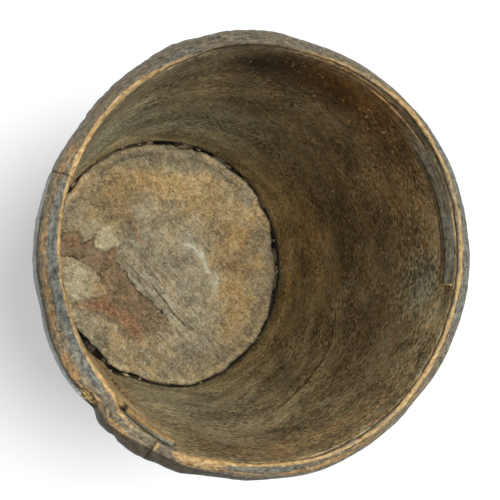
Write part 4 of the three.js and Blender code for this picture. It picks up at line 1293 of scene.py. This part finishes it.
def bind(name, start, stop, worn):
    """Sweeps the binding's profile round the rim from one joint to the next, and paints its wear."""
    line, length = smooth_line(BINDING_PROFILE, PROFILE_STEPS)
    line = line * MILLIMETRE
    length = length * MILLIMETRE
    slope = np.gradient(line, axis=0)
    normal = np.stack([-slope[:, 1], slope[:, 0]], axis=1) / np.hypot(*slope.T)[:, None]
    count = int((stop - start) * math.radians(1) * BINDING_RADIUS / BINDING_SPACING)
    angle, down = np.meshgrid(np.linspace(start, stop, count), length, indexing="ij")
    cells = np.ones((count - 1, PROFILE_STEPS - 1), dtype=bool)
    if worn:
        down, angle, cells = cut_hole(angle, down, length[np.argmax(line[:, 0])] - HOLE_RISE)
    out, z, tilt_out, tilt_up = (np.interp(down, length, values) for values in (*line.T, *normal.T))
    run = angle * math.radians(1) * BINDING_RADIUS
    at = angle % 360
    mm_down = down / MILLIMETRE
    butt = past(angle, BUTT_JOINT)
    lap = past(angle, LAP_JOINT)

    away = ease(down, 0.0015, 0.006)
    cross = ease(at, 85, 100) * (1 - ease(at, 150, 165))
    striped = ease(at, 160, 175) * (1 - ease(at, 214, 222)) * ease(down, 0.012, 0.018)
    lift = patchy(run, down * 0.6, 0.04, 131, 2) * 0.0007 * away
    swells = sum(near(angle, middle, reach) * rise for middle, reach, rise in SWELLS)
    lift += swells * ease(down, 0.006, 0.013)
    lift += patchy(run, down * 2.5, 0.014, 141, 2) * 0.0002 * away
    lift += patchy(run * 1.6, down * 0.25, 0.004, 151, 2) * 0.00028 * (0.35 + cross) * away
    lift += patchy(run * 0.7 + down, (run - down) * 0.3, 0.0024, 161, 2) * 0.00028 * striped
    lift += spots(at, mm_down, BULGES, past) - ridge(butt, 0.35) * 0.0003 - ridge(lap + 0.5, 0.5) * 0.0004
    z = z + patchy(run, 0 * run, 0.02, 181, 3) * 0.0013 * ease(down, length[-1] - 0.006, length[-1])
    out = out + patchy(run, 0 * run, 0.012, 171, 3) * 0.00042 * (1 - ease(down, 0.001, 0.006))
    out = out + level(at, INSET) * MILLIMETRE * (1 - ease(down, 0.002, 0.008))
    skins = []
    for depth in (-BINDING, lift):
        height = z + tilt_up * depth
        outwards = out + tilt_out * depth
        radius = inner_radius(angle, height) + lap_bulge(angle, height) + outwards
        radius += clip((outwards - CORE_SEAT) / CORE_WIDTH) * bundle_swell(angle)
        skins.append(turned_points(angle, radius, height))
    piece, used = hide_shell(name, *skins, cells, "binding_hide", hide.material)

    plan = out / MILLIMETRE
    under_side = ease(down, 0.026, 0.030)
    hem = ridge(down - length[-1], 0.0007) * 0.45
    cut_end = ridge(lap - 0.5, 0.35) * ease(plan, 1.0, 3.0) * (1 - ease(plan, 8.0, 10.0))
    rest = {"gold": cut_end + hem - 0.05, "grey": under_side * 0.3, "orange": under_side * 0.3}
    paint = {}
    for title, table in (("gold", GOLD), ("grey", GREY), ("orange", ORANGE)):
        gain, centre, half = level(at, table)
        paint[title] = gain * ridge(plan - centre, half) ** 0.7 * (1 - under_side) + rest[title]
    # Painted shade on the outer side, in the creases and along a line, with the dark joints; and painted
    # light and shade along the rim.
    gain, begins = level(at, OUTER_SHADE)
    paint["light"] = level(at, RIM_LIGHT_AND_SHADE)
    paint["dark"] = gain * ease(mm_down - begins, -1.5, 3.5) * (1 - under_side * 0.4)
    paint["dark"] += spots(at, mm_down, CREVICE_SHADE, past) + ridge(butt, 0.3) * 0.35
    paint["dark"] += ridge(lap + 0.4, 0.3) * 0.2 + level(at, SHADE_LINE) * ridge(plan - 11.9, 0.75)
    # A painted highlight along the outer edge.
    paint["edge"] = level(at, EDGE_HIGHLIGHT) * ease(plan, 12.2, 13.2) * (1 - ease(down, 0.020, 0.025))
    for title, values in paint.items():
        keep(piece, title, np.tile(values.ravel(), 2)[used])
    keep(piece, "rim", np.tile(np.stack([run, down, 0 * run], axis=-1).reshape(-1, 3), (2, 1))[used])


half_gap = math.degrees(JOINT_GAP / 2 / MOUTH_RADIUS)
bind("rim_binding_long", LAP_JOINT + half_gap, BUTT_JOINT + 360 - half_gap, False)
bind("rim_binding_short", BUTT_JOINT + half_gap, LAP_JOINT - half_gap, True)

# The strip inside the mouth. A bent strip of hide sprung against the wall along the right side, with a
# square end. It stiffens the rim there, and thins out towards its upper end.

HOOP_START = 350.8
HOOP_SWEEP = 84.0
HOOP_HEIGHT = 0.014
HOOP_THICKNESS = 0.0026
HOOP_DROP_AT_START = 0.009
HOOP_DROP_AT_END = 0.012

hide = Finish("hoop hide", 0.4, "hide")
grain = hide.grain(0.02, 0.0018, 5.0, 0.0009)
up = squared(hide.kept("rise"))
hide.start("#565346", "#c3c1ab", ease(swing(grain, Mottle=1.5, Streak=0.9), -0.4, 0.4))
hide.lay("#5f4525", "#c79f62", hide.ragged(0.36, 0.01, 1.8, 0.3, Place=stretch(hide.place, 0.5)) * 0.8)
low_edge = hide.ragged(0.5 - (up + 0.5) * 2.0, 0.004, 0.8, 0.2, Place=stretch(hide.place, 0.4))
hide.lay("#4a3319", "#b3884f", low_edge * 0.85)
hide.stain("#20180f", (1 - ease((up + 0.38).sum("ABSOLUTE"), 0.02, 0.16)) * 0.75)
# Painted shade along the top of the strip, under the rim's crest.
hide.stain("#2a2217", hide.ragged(0.5 + (up - 0.9) * 3.0, 0.004, 0.9, 0.2) * 0.8)
hide.stain("#1f1810", grain["Crack"] * 0.6)
hide.lay("#4a3319", "#a98250", clip(hide.kept("faded")))
hide.stain("#d9bb7c", clip(hide.kept("end")))
hide.done(0.6 + grain["Blotch"] * 0.25, grain["Height"], 0.0007)

hoop_sizes = {
    "Start": HOOP_START, "Sweep": HOOP_SWEEP, "Strip Height": HOOP_HEIGHT, "Strip Thickness": HOOP_THICKNESS,
    "Middle At Start": HEIGHT - HOOP_DROP_AT_START, "Middle At End": HEIGHT - HOOP_DROP_AT_END,
    "Clearance": GAP, "Wander": 0.0008, "Wander Size": 0.016, "Taper": 0.85, "Columns": 260, "Rows": 44,
    "Hide": hide.material}
hoop = grow("inner_hoop", strip_tree, hoop_sizes, "hoop_hide")
points = places(hoop)
from_end = past(np.degrees(np.arctan2(points[:, 1], points[:, 0])), HOOP_START)
keep(hoop, "end", 1 - ease(from_end, 0.1, 0.5))
keep(hoop, "faded", ease(from_end, 36, 58))

# The studio: a pale floor, one soft lamp from the top of the view, light from all round, and the
# camera above the mouth.

FLOOR_REACH = 3.0
FLOOR_GLOW = 0.3
SKY = (0.97, 0.985, 1.0, 1.0)
SKY_STRENGTH = 0.45
LAMP = Vector((0.38, 0.2, 3.0))
LAMP_AIM = Vector((0, 0, 0.1))
LAMP_SIZE = 1.3
LAMP_POWER = 62
CAMERA = Vector((-0.198, -0.024, 0.8465))
AIM = Vector((-0.0173, 0.0012, 0.315))
SENSOR = 36.0
LENS = 62.5

floor_mesh = bpy.data.meshes.new("floor")
corners = [(x * FLOOR_REACH, y * FLOOR_REACH, 0) for x, y in ((-1, -1), (1, -1), (1, 1), (-1, 1))]
floor_mesh.from_pydata(corners, [], [(0, 1, 2, 3)])
floor = bpy.data.objects.new("floor", floor_mesh)
bpy.context.scene.collection.objects.link(floor)
paint = Finish("floor", 0.1)
seen = paint.tree.nodes.new("ShaderNodeLightPath")
direct, mirrored = (Field(paint.tree, seen.outputs[title]) for title in ("Is Camera Ray", "Is Glossy Ray"))
glow = direct.sum("MAXIMUM", mirrored) * FLOOR_GLOW
paint.tree.links.new(glow.socket, paint.shader.inputs["Emission Strength"])
plain = {"Base Color": tint("#e6e8ea"), "Emission Color": (1.0, 1.0, 1.0, 1.0), "Roughness": 0.9}
for title, value in plain.items():
    paint.shader.inputs[title].default_value = value
floor_mesh.materials.append(paint.material)

world = bpy.data.worlds.new("soft light")
bpy.context.scene.world = world
world.use_nodes = True
world.node_tree.nodes["Background"].inputs["Color"].default_value = SKY
world.node_tree.nodes["Background"].inputs["Strength"].default_value = SKY_STRENGTH

light = bpy.data.lights.new("key", "AREA")
light.shape = "DISK"
light.size = LAMP_SIZE
light.energy = LAMP_POWER
lamp = bpy.data.objects.new("key", light)
bpy.context.scene.collection.objects.link(lamp)
lamp.location = LAMP
lamp.rotation_euler = (LAMP_AIM - LAMP).to_track_quat("-Z", "Y").to_euler()

lens = bpy.data.cameras.new("camera")
lens.sensor_width = SENSOR
lens.lens = LENS
camera = bpy.data.objects.new("camera", lens)
bpy.context.scene.collection.objects.link(camera)
ahead = (AIM - CAMERA).normalized()
right = ahead.cross(Vector((0, 1, 0))).normalized()
axes = Matrix((right, right.cross(ahead), -ahead)).transposed()
camera.matrix_world = Matrix.Translation(CAMERA) @ axes.to_4x4()
bpy.context.scene.camera = camera
bpy.context.scene.view_settings.view_transform = "Standard"
